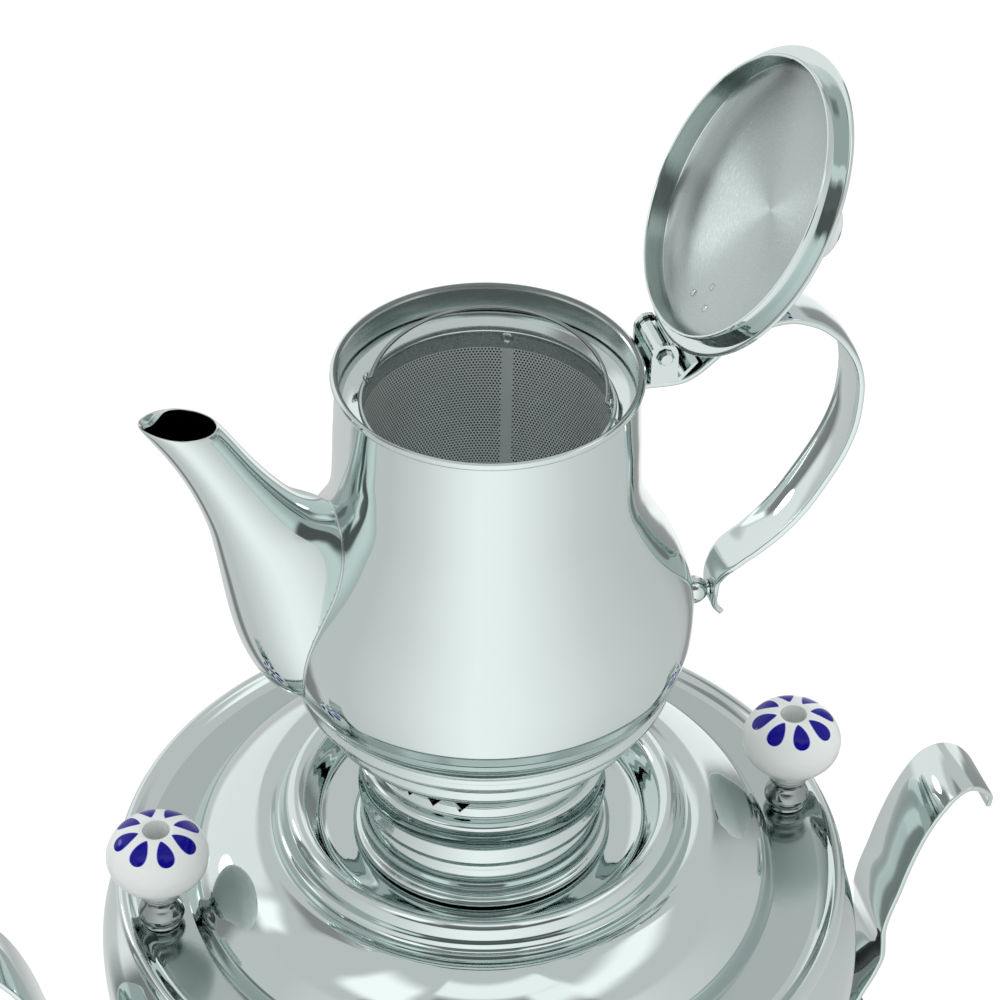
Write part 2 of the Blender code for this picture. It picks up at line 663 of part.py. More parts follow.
# Tap: a rosette on the wall and a shank through it to a seal and a nut inside
tap_height = vessel_level + tap_level
tap_wall = radius_at(vessel_line, tap_level)
tap_window = drill("tap_window", shank_radius + pivot_gap, tap_wall - barrel_reach, tap_wall + barrel_reach,
                       small_facets)
put(tap_window, (0.0, 0.0, tap_height), towards_front)
cut(vessel, tap_window)
rosette_front = tap_wall + rosette_thickness
rosette_back = radius_at(vessel_line, tap_level - rosette_radius) - rosette_thickness
rosette_outline = [(shank_radius + pivot_gap, rosette_front),
                   (2 * rosette_radius / 3, rosette_front),
                   (0.9 * rosette_radius, rosette_front - rosette_thickness / 5),
                   (rosette_radius, rosette_front - rosette_thickness / 2), (rosette_radius, rosette_back),
                   (shank_radius + pivot_gap, rosette_back)]
rosette = put(turned("tap_rosette", rosette_outline, 2 * tiny_facets, polished_steel), (0.0, 0.0, tap_height),
              towards_front)
cut(rosette, vessel_core)
seal_face = radius_at(vessel_line, tap_level - tap_nut_radius) * flat_share - vessel_wall - tap_seal_thickness
nut_face = seal_face - 2 * seat_gap - tap_nut_thickness
seal = ring("tap_seal", tap_nut_radius, shank_radius + pivot_gap, seal_face - seat_gap,
            tap_wall + vessel_wall,
            2 * tiny_facets, rubber)
put(seal, (0.0, 0.0, tap_height), towards_front)
cut(seal, vessel_hollow, "INTERSECT")
put(hexagon_nut("tap_nut", tap_nut_radius, shank_radius + pivot_gap, nut_face, nut_face + tap_nut_thickness,
                plated_brass), (0.0, 0.0, tap_height), towards_front)

# Tap body: shank, barrel and nozzle, bored through
barrel_place = -tap_wall - barrel_reach
tap_axis = axis_empty("tap_axis", (0.0, barrel_place, tap_height))
half_barrel = tap_barrel_height / 2
barrel_outline = [(0.0, half_barrel), (0.93 * tap_barrel_radius, half_barrel),
                  (tap_barrel_radius, half_barrel - tap_barrel_height / 20),
                  (tap_barrel_radius, 0.8 * half_barrel), (0.93 * tap_barrel_radius, 0.7 * half_barrel),
                  (0.93 * tap_barrel_radius, -0.7 * half_barrel), (tap_barrel_radius, -0.8 * half_barrel),
                  (tap_barrel_radius, tap_barrel_height / 20 - half_barrel),
                  (0.8 * tap_barrel_radius, -half_barrel),
                  (0.0, -half_barrel)]
tap_body = put(turned("tap_body", barrel_outline, small_facets, polished_steel),
               (0.0, barrel_place, tap_height))
shank = round_bar("tap_shank", shank_radius, nut_face - seat_gap, tap_wall + barrel_reach, small_facets)
put(shank, (0.0, 0.0, tap_height), towards_front)
cut(tap_body, shank, "UNION")
nozzle_bend = nozzle_reach - tap_barrel_radius
nozzle_path = [(0.0, 0.0, 0.0), (0.0, -tap_barrel_radius, 0.0)]
nozzle_path += [(0.0, -tap_barrel_radius - nozzle_bend * math.sin(angle),
                 -nozzle_bend * (1 - math.cos(angle)))
                for angle in (math.pi / 8, math.pi / 4, 3 * math.pi / 8, math.pi / 2)]
nozzle_path.append((0.0, -nozzle_reach, -nozzle_drop))
nozzle = put(tube("tap_nozzle", nozzle_path, nozzle_radius, tiny_facets + 2, None), carrier=tap_axis)
cut(tap_body, nozzle, "UNION")
nozzle_path[-1] = (0.0, -nozzle_reach, -nozzle_drop - cut_overrun)
cut(tap_body, put(tube("nozzle_bore", nozzle_path, shank_bore_radius, tiny_facets, None), carrier=tap_axis))
shank_bore = drill("shank_bore", shank_bore_radius, nut_face - seat_gap - cut_overrun,
                   tap_wall + barrel_reach,
                       tiny_facets)
put(shank_bore, (0.0, 0.0, tap_height), towards_front)
cut(tap_body, shank_bore)
plug_line = [(plug_radius + plug_taper / 2, half_barrel), (plug_radius - plug_taper / 2, -half_barrel)]
plug_seat_line = [(0.0, half_barrel + cut_overrun), (plug_line[0][0] + pivot_gap, half_barrel + cut_overrun),
                  (plug_line[0][0] + pivot_gap, half_barrel), (plug_line[1][0] + pivot_gap, -half_barrel),
                  (plug_line[1][0] + pivot_gap, -half_barrel - cut_overrun),
                  (0.0, -half_barrel - cut_overrun)]
plug_seat = put(turned("plug_seat", plug_seat_line, small_facets, None), carrier=tap_axis)
cut(tap_body, plug_seat)

# Tap plug, shut: its cross bore lies along X; the keeper below holds it down
stem_radius = plug_radius / 2
shoulder_top = half_barrel + seat_gap + rosette_thickness / 4
stem_top = shoulder_top + hub_height + lever_radius
stem_bottom = -half_barrel - keeper_height - 2 * seat_gap
plug_outline = [(0.0, stem_top), (stem_radius, stem_top), (stem_radius, shoulder_top),
                (0.9 * tap_barrel_radius, shoulder_top), (0.9 * tap_barrel_radius, half_barrel + seat_gap),
                (plug_line[0][0], half_barrel + seat_gap), plug_line[1], (stem_radius, -half_barrel),
                (stem_radius, stem_bottom), (0.0, stem_bottom)]
plug = put(turned("tap_plug", plug_outline, small_facets, plated_brass), carrier=tap_axis)
cross_bore = put(drill("plug_cross_bore", plug_bore_radius, -tap_barrel_radius, tap_barrel_radius,
                       tiny_facets),
                 turn=along_x, carrier=tap_axis)
cut(plug, cross_bore)
keeper = ring("tap_keeper_nut", keeper_radius, stem_radius + pivot_gap,
              -half_barrel - seat_gap - keeper_height,
              -half_barrel - seat_gap, small_facets, plated_brass)
put(keeper, carrier=tap_axis)

# Tap lever with its porcelain knob
hub_outline = [(hub_radius, hub_height), (hub_radius, 0.0), (stem_radius + pivot_gap, 0.0),
               (stem_radius + pivot_gap, hub_height)]
lever = put(turned("tap_lever", hub_outline, small_facets, polished_steel),
            (0.0, 0.0, shoulder_top + seat_gap),
            carrier=tap_axis)
lever_start = (stem_radius + hub_radius) / 2
lever_path = [(-lever_start, 0.0, hub_height / 2), (-lever_length / 2, 0.0, hub_height / 2 + lever_rise / 5),
              (-lever_length * 0.85, 0.0, hub_height / 2 + lever_rise / 3),
              (-lever_length, 0.0, hub_height / 2 + 2 * lever_rise / 3),
              (-lever_length, 0.0, hub_height / 2 + lever_rise + lever_knob_height / 2)]
lever_arm = tube("lever_arm", lever_path, lever_radius, tiny_facets, None)
put(lever_arm, (0.0, 0.0, shoulder_top + seat_gap), carrier=tap_axis)
cut(lever, lever_arm, "UNION")
lever_knob_line = scaled(porcelain_shares, lever_knob_radius, lever_knob_height)
lever_knob_bore = lever_radius + pivot_gap
lever_knob_outline = [(0.0, lever_knob_height)] + lever_knob_line
lever_knob_outline += [(lever_knob_bore, 0.0), (lever_knob_bore, lever_knob_height / 2 + seat_gap),
                       (0.0, lever_knob_height / 2 + seat_gap)]
lever_knob = turned("tap_lever_knob", lever_knob_outline, small_facets, porcelain)
put(lever_knob, (-lever_length, 0.0, shoulder_top + seat_gap + hub_height / 2 + lever_rise), carrier=tap_axis)

# Side handles
grip_line = scaled(grip_neck_shares, grip_radius, grip_length)
body_top = grip_body_shares[0][1]
body_bottom = grip_body_shares[-1][1]
body_rising = [(across, -up) for across, up in grip_body_shares]
for number in range(2 * grip_ring_count + 1):
    along = body_top + (body_bottom - body_top) * number / (2 * grip_ring_count)
    swell = radius_at(body_rising, -along) * grip_radius
    grip_line.append((swell - grip_ring_depth * (number % 2), along * grip_length))
grip_line += scaled(grip_end_shares, grip_radius, grip_length)
stud_end = grip_length + 2 * leaf_thickness + 3 * seat_gap
grip_line += [(grip_stud_radius, grip_length), (grip_stud_radius, stud_end)]
grip_line = [(across, -along) for across, along in grip_line]
grip_outline = grip_line + [(0.0, -stud_end)]
clearance_line = offset_line(grip_line[1:-1], -pivot_gap)
clearance_end = -stud_end - cut_overrun
clearance_line = [(0.0, pivot_gap)] + clearance_line + [(clearance_line[-1][0], clearance_end),
                                                        (0.0, clearance_end)]
grip_top = Vector((vessel_radius + grip_top_reach, lid_level - grip_top_drop))
grip_down = Vector((math.sin(grip_lean), -math.cos(grip_lean)))
grip_out = Vector((math.cos(grip_lean), math.sin(grip_lean)))
crossing = grip_top + grip_down * grip_crossing_share * grip_length
upper_foot = crossing.y - upper_foot_drop
leaf_flange = radius_at(vessel_line, upper_foot - vessel_level) + upper_foot_length
leaf_line = [(crossing.x + across * leaf_reach, crossing.y + up * leaf_rise) for across, up in leaf_shares]
leaf_line += [(leaf_flange + across * (crossing.x - leaf_flange), crossing.y - down * upper_foot_drop)
              for across, down in leaf_root_shares]
leaf_line += [(leaf_flange, upper_foot + foot_post_radius),
              (leaf_flange, upper_foot - 1.2 * foot_post_radius)]
arm_seat = grip_top + grip_down * (grip_length + seat_gap + leaf_thickness / 2)
lower_foot = arm_seat.y + lower_foot_rise
arm_flange = radius_at(vessel_line, lower_foot - vessel_level) + lower_foot_length
arm_line = [tuple(arm_seat + arm_tip * (across * grip_out - up * grip_down)) for across, up in arm_tip_shares]
arm_start = Vector(arm_line[-1])
arm_line += [(arm_start.x + across * (arm_flange - arm_start.x),
              arm_start.y + up * (lower_foot - arm_start.y))
             for across, up in arm_run_shares]
arm_line += [(arm_flange, lower_foot + 1.2 * foot_post_radius)]
for side, turn in (("right", 0.0), ("left", math.pi)):
    carrier = axis_empty("handle_place_" + side, (0.0, 0.0, 0.0), (0.0, 0.0, turn))
    grip_turn = (0.0, -grip_lean, 0.0)
    grip_place = (grip_top.x, 0.0, grip_top.y)
    put(turned("handle_grip_" + side, grip_outline, tiny_facets, grip_plastic), grip_place, grip_turn,
        carrier)
    clearance = turned("grip_clearance_" + side, clearance_line, tiny_facets, None)
    put(clearance, grip_place, grip_turn, carrier)
    for name, line, width, level, flange in (("leaf", leaf_line, leaf_width, upper_foot, leaf_flange),
                                             ("arm", arm_line, arm_width, lower_foot, arm_flange)):
        strip = ribbon("handle_" + name + "_" + side, line, width, leaf_thickness, polished_steel)
        put(strip, carrier=carrier)
        post = round_bar(name + "_post_" + side, foot_post_radius, flange - 2 * upper_foot_length, flange,
                         small_facets)
        put(post, (0.0, 0.0, level), along_x, carrier)
        cut(strip, post, "UNION")
        cut(strip, vessel_core)
        cut(strip, clearance)

# Lid of the samovar: dished centre, half-round ring, dome, flat border and rolled edge
lid_axis = axis_empty("samovar_lid_axis", (0.0, 0.0, lid_level))
lid_bead = arc((lid_radius - lid_bead_radius, 0.0), lid_bead_radius, math.radians(168), math.radians(-150), 6)
lid = put(turned("samovar_lid", lid_line + lid_bead + inner_line(lid_line, lid_wall)[::-1], large_facets,
                 polished_steel), carrier=lid_axis)
ring_outer = vessel_line[0][0] - vessel_wall - running_gap
lid_ring = ring("lid_locating_ring", ring_outer, ring_outer - lid_ring_wall,
                -lid_wall - seat_gap - lid_ring_height, -lid_wall - seat_gap, large_facets, brushed_steel)
put(lid_ring, carrier=lid_axis)
knob_place = lid_radius - knob_inset


def knob_set(names, place, carrier, sizes, screw_end, knob_facets):
    """A ferrule, a porcelain knob on it and the screw that holds both, upright at a place."""
    radius, height, ferrule_rise = sizes
    well = height - knob_well_depth * height / knob_height
    bore = screw_radius + pivot_gap
    foot = Vector(place) + Vector((0.0, 0.0, seat_gap))
    ferrule_outline = scaled(ferrule_shares, ferrule_radius * radius / knob_radius, ferrule_rise)
    if screw_end > 0.0:
        blind_end = screw_end - seat_gap
        ferrule_outline += [(0.0, 0.0), (0.0, blind_end), (bore, blind_end), (bore, ferrule_rise)]
    else:
        ferrule_outline += [(bore, 0.0), (bore, ferrule_rise)]
    put(turned(names[0], ferrule_outline, small_facets, polished_steel), foot, carrier=carrier)
    knob_outline = scaled(porcelain_shares, radius, height)
    knob_outline += [(bore, 0.0), (bore, well), (knob_outline[0][0], well)]
    knob_foot = foot + Vector((0.0, 0.0, ferrule_rise + seat_gap))
    put(turned(names[1], knob_outline, knob_facets, porcelain), knob_foot, carrier=carrier)
    head = ferrule_rise + seat_gap + well + seat_gap
    head_radius = knob_outline[0][0] - seat_gap
    screw_outline = [(0.0, head + screw_head_height), (head_radius, head + screw_head_height / 2),
                     (head_radius, head),
                     (screw_radius, head), (screw_radius, screw_end), (0.0, screw_end)]
    put(turned(names[2], screw_outline, tiny_facets, plated_brass), foot, carrier=carrier)


for side, across in (("right", knob_place), ("left", -knob_place)):
    names = ["lid_knob_ferrule_" + side, "lid_knob_" + side, "lid_knob_screw_" + side]
    knob_set(names, (across, 0.0, 0.0), lid_axis, (knob_radius, knob_height, ferrule_height),
             -lid_wall - nut_height - 4 * seat_gap, small_facets)
    screw_window = drill("screw_window_" + side, screw_radius + pivot_gap, -cut_overrun, cut_overrun)
    put(screw_window, (across, 0.0, 0.0), carrier=lid_axis)
    cut(lid, screw_window)
    nut = hexagon_nut("lid_knob_nut_" + side, nut_radius, screw_radius + pivot_gap,
                      -lid_wall - seat_gap - nut_height, -lid_wall - seat_gap, plated_brass)
    put(nut, (across, 0.0, 0.0), carrier=lid_axis)
    nut_relief = drill("nut_relief_" + side, nut_radius + running_gap,
                           -lid_wall - 2 * seat_gap - nut_height - running_gap, cut_overrun, small_facets)
    put(nut_relief, (across, 0.0, 0.0), carrier=lid_axis)
    cut(lid_ring, nut_relief)

# Crown: a turned neck on a spigot in the lid's opening, with three groups of diamond vents
crown_axis = axis_empty("crown_axis", (0.0, 0.0, crown_level))
spigot_radius = lid_line[0][0] - running_gap
crown_path = [(crown_throat_radius, crown_height)] + crown_line + [(spigot_radius, 0.0),
                                                                   (spigot_radius, -spigot_depth)]
crown = put(turned("crown_neck", sheet(crown_path, crown_wall), middle_facets, polished_steel),
            carrier=crown_axis)
vent_groups = 3
vents_in_group = 3
vent_pitch = math.radians(14.2)
vent_middle_angle = math.radians(-131.2)
vent_level = vent_level_share * crown_height
diamond = [(vent_width / 2, vent_level), (0.0, vent_level + vent_height / 2), (-vent_width / 2, vent_level),
           (0.0, vent_level - vent_height / 2)]
for group in range(vent_groups):
    for number in range(vents_in_group):
        angle = vent_middle_angle + math.tau * group / vent_groups
        angle += vent_pitch * (number - (vents_in_group - 1) / 2)
        vent = extruded("vent_" + str(vents_in_group * group + number + 1), diamond, 6 * crown_wall, None,
                        -crown_radius * crown_shares[1][0])
        put(vent, turn=(0.0, 0.0, angle + math.pi / 2), carrier=crown_axis)
        cut(crown, vent)
gallery_path = gallery_line + [(crown_throat_radius, 0.0)]
put(turned("crown_gallery", sheet(gallery_path, gallery_wall), middle_facets, polished_steel),
    (0.0, 0.0, gallery_level - crown_level), carrier=crown_axis)

# Teapot body: foot in the gallery, shelf on its rim, ledge for the infuser in the neck
teapot_axis = axis_empty("teapot_axis", (0.0, 0.0, teapot_level))
foot_outer = gallery_line[1][0] - gallery_wall - running_gap
teapot_line = scaled(teapot_shares, teapot_radius, teapot_height)
teapot_line += [(foot_outer, teapot_foot_height), (foot_outer, teapot_foot_height / 5),
                (foot_outer - teapot_foot_height / 5, 0.0)]
neck_outer = teapot_line[0][0]
neck_inner = neck_outer - teapot_wall
ledge_level = teapot_height - ledge_drop
ledge_inner = neck_inner - ledge_width
teapot_rim = arc((neck_outer, teapot_height - rim_bead_radius), rim_bead_radius, math.pi, math.radians(-90),
                 4)
teapot_inside = inner_line(teapot_line + [(0.0, 0.0)], teapot_wall)[1:]
teapot_outline = teapot_rim + teapot_line + [(0.0, 0.0)] + teapot_inside[::-1]
teapot_outline += [(neck_inner, ledge_level - 2 * ledge_width), (ledge_inner, ledge_level - ledge_width),
                   (ledge_inner, ledge_level), (neck_inner, ledge_level)]
teapot = put(turned("teapot_body", teapot_outline, middle_facets, polished_steel), carrier=teapot_axis)
pour_hole = drill("pour_hole", pour_hole_radius, -teapot_radius - cut_overrun, -neck_inner / 2, tiny_facets)
put(pour_hole, (0.0, 0.0, pour_level_share * teapot_height), along_x, teapot_axis)
cut(teapot, pour_hole)
teapot_core_line = offset_line(teapot_line, -seat_gap)
teapot_core = turned("teapot_core", [(0.0, teapot_height),
                                     (teapot_core_line[0][0], teapot_height)] + teapot_core_line
                     + [(0.0, 0.0)], middle_facets, None)
put(teapot_core, carrier=teapot_axis)


def spout_ring(data, section, shrink, rise, facets=12):
    """One ring of the spout, drawn in by a wall, with a lip that is pointed outwards."""
    outer = Vector((-section[0] * spout_reach, section[1] * teapot_height + rise))
    inner = Vector((-section[2] * spout_reach, section[3] * teapot_height + rise))
    middle = (outer + inner) / 2
    half = (outer - inner) / 2
    half = half * (half.length - shrink) / half.length
    half_width = section[4] * spout_reach - shrink
    ring_points = []
    for step in range(facets):
        angle = math.tau * step / facets
        pinch = 1.0 - lip_point_share * max(math.cos(angle), 0.0) ** 2 * section[1] ** 3
        point = middle + half * math.cos(angle)
        ring_points.append(data.verts.new((point.x, half_width * math.sin(angle) * pinch, point.y)))
    return ring_points


spout_data = bmesh.new()
skin(spout_data, [spout_ring(spout_data, section, 0.0, 0.0) for section in spout_shares])
spout = put(make("teapot_spout", spout_data, polished_steel), carrier=teapot_axis)
spout_bore_data = bmesh.new()
bore_rings = [spout_ring(spout_bore_data, section, spout_wall, spout_wall) for section in spout_shares]
bore_rings.append(spout_ring(spout_bore_data, spout_shares[-1], spout_wall, spout_wall + cut_overrun))
skin(spout_bore_data, bore_rings)
cut(spout, put(make("spout_bore", spout_bore_data, None), carrier=teapot_axis))
cut(spout, teapot_core)

# Teapot handle, held at the neck, and below by a ball spacer and a rivet
strap_line = scaled(strap_shares, strap_reach, teapot_height)
strap = put(ribbon("teapot_handle", strap_line, strap_width, strap_thickness, polished_steel),
            carrier=teapot_axis)
cut(strap, teapot_core)
spacer_level = (strap_line[-3][1] + strap_line[-2][1]) / 2
spacer_start = radius_at(teapot_line, spacer_level) + seat_gap
spacer_end = strap_line[-3][0] - strap_thickness / 2 - seat_gap
spacer_middle = (spacer_start + spacer_end) / 2
spacer_round = (spacer_end - spacer_start) / 2
rivet_bore = rivet_radius + pivot_gap
spacer_outline = [(rivet_bore, spacer_end), (spacer_neck_radius, spacer_end)]
spacer_outline += arc((0.0, spacer_middle), spacer_round, math.radians(58), math.radians(-58), 6)
spacer_outline += [(spacer_neck_radius, spacer_start), (0.0, spacer_start), (0.0, spacer_middle),
                   (rivet_bore, spacer_middle)]
put(turned("handle_spacer", spacer_outline, tiny_facets, polished_steel), (0.0, 0.0, spacer_level), along_x,
    teapot_axis)
strap_outside = strap_line[-3][0] + strap_thickness / 2 + seat_gap
rivet_outline = [(0.0, strap_outside + rivet_head_height),
                 (2 * rivet_head_radius / 3, strap_outside + 3 * rivet_head_height / 4),
                 (rivet_head_radius, strap_outside), (rivet_radius, strap_outside),
                 (rivet_radius, spacer_middle + seat_gap), (0.0, spacer_middle + seat_gap)]
put(turned("handle_rivet", rivet_outline, tiny_facets, polished_steel), (0.0, 0.0, spacer_level), along_x,
    teapot_axis)
rivet_window = drill("rivet_window", rivet_bore, spacer_end - seat_gap, strap_outside + seat_gap, tiny_facets)
put(rivet_window, (0.0, 0.0, spacer_level), along_x, teapot_axis)
cut(strap, rivet_window)

# Hinge bracket on the handle's root, with two cheeks, a stop tab and the pin
teapot_lid_radius = neck_outer + rim_bead_radius + lid_flange_overhang
hinge_reach = teapot_lid_radius + barrel_radius + running_gap
hinge_height = teapot_height + hinge_rise
cheek_inner = barrel_width / 2 + seat_gap
cheek_outer = cheek_inner + cheek_thickness
bracket_level = strap_line[1][1] + strap_thickness / 2 + seat_gap
bracket_start = hinge_reach - cheek_radius
bracket_end = bracket_start + bracket_length
bracket_outline = [(bracket_start, bracket_level), (bracket_end, bracket_level),
                   (bracket_end + tab_length, bracket_level + tab_rise),
                   (bracket_end + tab_length - bracket_floor, bracket_level + tab_rise),
                   (bracket_end - bracket_floor / 2, bracket_level + bracket_floor),
                   (bracket_start, bracket_level + bracket_floor)]
bracket = put(extruded("hinge_bracket", bracket_outline, 2 * cheek_outer, polished_steel),
              carrier=teapot_axis)
cheek_outline = [(hinge_reach - cheek_radius, bracket_level), (hinge_reach + cheek_radius, bracket_level)]
cheek_outline += arc((hinge_reach, hinge_height), cheek_radius, 0.0, math.pi, 8)
for number, side in ((1, -1), (2, 1)):
    cheek = extruded("cheek_" + str(number), cheek_outline, cheek_thickness, None,
                     side * (cheek_inner + cheek_outer) / 2)
    cut(bracket, put(cheek, carrier=teapot_axis), "UNION")
pin_window = drill("pin_window", pin_radius + pivot_gap, -cheek_outer - seat_gap, cheek_outer + seat_gap,
                       tiny_facets)
put(pin_window, (hinge_reach, 0.0, hinge_height), towards_front, teapot_axis)
cut(bracket, pin_window)
pin_end = cheek_outer + seat_gap
pin_outline = [(0.0, pin_end + pin_head_thickness), (2 * pin_head_radius / 3, pin_end + pin_head_thickness),
               (pin_head_radius, pin_end + pin_head_thickness / 3), (pin_head_radius, pin_end),
               (pin_radius, pin_end)]
pin_outline += [(across, -along) for across, along in pin_outline[::-1]]
put(turned("hinge_pin", pin_outline, tiny_facets, brushed_steel), (hinge_reach, 0.0, hinge_height),
    towards_front,
    teapot_axis)

# Teapot lid, open on its hinge: the empty on the pin's axis carries it as closed
lid_hinge = axis_empty("teapot_lid_hinge", (hinge_reach, 0.0, hinge_height), (0.0, lid_open_angle, 0.0),
                       teapot_axis)
lid_seat = (-hinge_reach, 0.0, seat_gap - hinge_rise)
dome_line = [(across * teapot_lid_radius, lid_flange_thickness + up * teapot_lid_rise)
             for across, up in teapot_lid_shares]
skirt_outer = neck_inner - running_gap
teapot_lid_outline = dome_line + [(dome_line[-1][0] + seat_gap, lid_flange_thickness),
                                  (teapot_lid_radius - lid_flange_thickness / 2, lid_flange_thickness),
                                  (teapot_lid_radius, lid_flange_thickness / 2),
                                  (teapot_lid_radius - lid_flange_thickness / 2, 0.0),
                                  (skirt_outer, 0.0), (skirt_outer, -lid_skirt_depth),
                                  (skirt_outer - teapot_lid_wall, -lid_skirt_depth)]
teapot_lid_outline += inner_line(dome_line, teapot_lid_wall)[::-1]
teapot_lid = put(turned("teapot_lid", teapot_lid_outline, middle_facets, polished_steel), lid_seat,
                 carrier=lid_hinge)
knob_set(["teapot_lid_ferrule", "teapot_lid_knob", "teapot_lid_screw"],
         (-hinge_reach, 0.0, lid_seat[2] + lid_flange_thickness + teapot_lid_rise), lid_hinge,
         (small_knob_radius, small_knob_height, small_ferrule_height), small_ferrule_height / 3, small_facets)
barrel = ring("lid_hinge_leaf", barrel_radius, pin_radius + pivot_gap, -barrel_width / 2, barrel_width / 2,
              small_facets, polished_steel)
put(barrel, turn=towards_front, carrier=lid_hinge)
tongue_start = dome_line[-1][0] + running_gap - hinge_reach
tongue_end = -(pin_radius + barrel_radius) / 2
tongue_level = lid_seat[2] + lid_flange_thickness + seat_gap + tongue_thickness / 2
tongue = block("lid_tongue", (tongue_end - tongue_start, barrel_width, tongue_thickness),
               ((tongue_start + tongue_end) / 2, 0.0, tongue_level))
put(tongue, carrier=lid_hinge)
cut(barrel, tongue, "UNION")

# Infuser: a rim on the teapot's ledge, the basket below it, and a wire bail in two eyelets
infuser_level = teapot_level + ledge_level + seat_gap
infuser_axis = axis_empty("infuser_axis", (0.0, 0.0, infuser_level))
infuser_radius = ledge_inner - infuser_side_gap
infuser_inner = infuser_radius - infuser_wall
basket_line = scaled(infuser_shares, infuser_radius, infuser_depth)
put(turned("infuser_basket", sheet(basket_line, infuser_wall), middle_facets, brushed_steel),
    (0.0, 0.0, -seat_gap - infuser_depth), carrier=infuser_axis)
infuser_rim = ring("infuser_rim", neck_inner - infuser_fit, infuser_inner, 0.0, infuser_rim_thickness,
                   middle_facets, brushed_steel)
put(infuser_rim, carrier=infuser_axis)
pivot_height = infuser_rim_thickness / 2 + eyelet_radius
eyelet_place = infuser_radius + eyelet_width / 2 + seat_gap
bail_pivot = axis_empty("bail_pivot", (0.0, 0.0, pivot_height), (0.0, 0.0, bail_turn), infuser_axis)
for number, side in ((1, -1), (2, 1)):
    eyelet = ring("eyelet_" + str(number), eyelet_radius, eyelet_bore_radius,
                  side * eyelet_place - eyelet_width / 2,
                  side * eyelet_place + eyelet_width / 2, tiny_facets, None)
    put(eyelet, turn=along_x, carrier=bail_pivot)
    cut(infuser_rim, eyelet, "UNION")
bail_radius = infuser_inner - bail_side_gap
bail_bend = eyelet_radius
bail_end = eyelet_place + eyelet_width
bail_half = [(bail_end, 0.0, 0.0), (bail_radius + bail_bend, 0.0, 0.0),
             (bail_radius + bail_bend / 4, 0.0, bail_bend / 4)]
bail_arch = [(bail_radius * math.cos(angle), 0.0, bail_radius * math.sin(angle))
             for angle in [math.pi * (step + 1) / 16 for step in range(15)]]
bail_path = bail_half + bail_arch + [(-across, 0.0, up) for across, side, up in bail_half[::-1]]
bail = tube("infuser_bail", bail_path, bail_wire_radius, 5, brushed_steel)
put(bail, turn=(bail_lean - math.pi / 2, 0.0, 0.0), carrier=bail_pivot)
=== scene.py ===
import math

import bmesh
import bpy
from mathutils.bvhtree import BVHTree
from mathutils import Matrix, Vector


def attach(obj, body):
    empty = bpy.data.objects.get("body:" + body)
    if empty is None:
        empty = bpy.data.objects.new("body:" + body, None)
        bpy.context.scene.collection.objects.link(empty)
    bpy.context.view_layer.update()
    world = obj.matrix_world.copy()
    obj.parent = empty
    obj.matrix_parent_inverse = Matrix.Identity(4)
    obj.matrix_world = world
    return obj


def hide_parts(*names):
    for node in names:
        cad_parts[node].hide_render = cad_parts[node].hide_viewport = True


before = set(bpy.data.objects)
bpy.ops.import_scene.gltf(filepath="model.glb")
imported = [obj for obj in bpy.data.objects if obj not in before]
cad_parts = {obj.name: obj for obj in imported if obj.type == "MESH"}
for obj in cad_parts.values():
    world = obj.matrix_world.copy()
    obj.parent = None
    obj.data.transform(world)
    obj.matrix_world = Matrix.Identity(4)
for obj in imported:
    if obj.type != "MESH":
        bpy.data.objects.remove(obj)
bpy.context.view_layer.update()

scene = bpy.context.scene
scene.view_settings.view_transform = "Standard"

# Camera: it stands in front and a little to the left of the tap, at arm's length above the lid,
# and looks down into the open teapot. The picture cuts the samovar off under its lid.
eye = Vector((-0.2070, -0.7129, 0.9765))
pitch, turn_left, roll = math.radians(37.817), math.radians(16.5), math.radians(1.046)
level_right = Vector((math.cos(turn_left), -math.sin(turn_left), 0.0))
ahead = Vector((math.sin(turn_left) * math.cos(pitch), math.cos(turn_left) * math.cos(pitch),
                -math.sin(pitch)))
level_up = level_right.cross(ahead)
right = level_right * math.cos(roll) + level_up * math.sin(roll)
up = right.cross(ahead)
camera_data = bpy.data.cameras.new("camera")
camera_data.lens = 117.0
camera_data.sensor_width = 36.0
camera_data.clip_start = 0.05
camera = bpy.data.objects.new("camera", camera_data)
scene.collection.objects.link(camera)
camera.matrix_world = Matrix((
    (right.x, up.x, -ahead.x, eye.x),
    (right.y, up.y, -ahead.y, eye.y),
    (right.z, up.z, -ahead.z, eye.z),
    (0.0, 0.0, 0.0, 1.0)))
scene.camera = camera

# Studio: a white sweep to stand on, a pale room, and a tent of soft panels round the samovar with
# dark flags beside them, which only shows as reflections in the polished steel.
towards, sideways, tent_height = (-0.2788, -0.9603), (0.9603, -0.2788), 0.34


def math_in(tree):
    """A function that adds Math nodes to a tree: numbers become their values, and sockets are wired."""
    def worked(operation, *values):
        node = tree.nodes.new("ShaderNodeMath")
        node.operation = operation
        for socket, value in zip(node.inputs, values):
            if isinstance(value, (int, float)):
                socket.default_value = value
            else:
                tree.links.new(value, socket)
        return node.outputs[0]
    return worked


def ramp_in(tree, value, **ends):
    """Adds a Map Range node for a value, with those of its four ends that are given, such as from_min."""
    node = tree.nodes.new("ShaderNodeMapRange")
    for socket, number in ends.items():
        node.inputs[socket.replace("_", " ").title()].default_value = number
    tree.links.new(value, node.inputs["Value"])
    return node


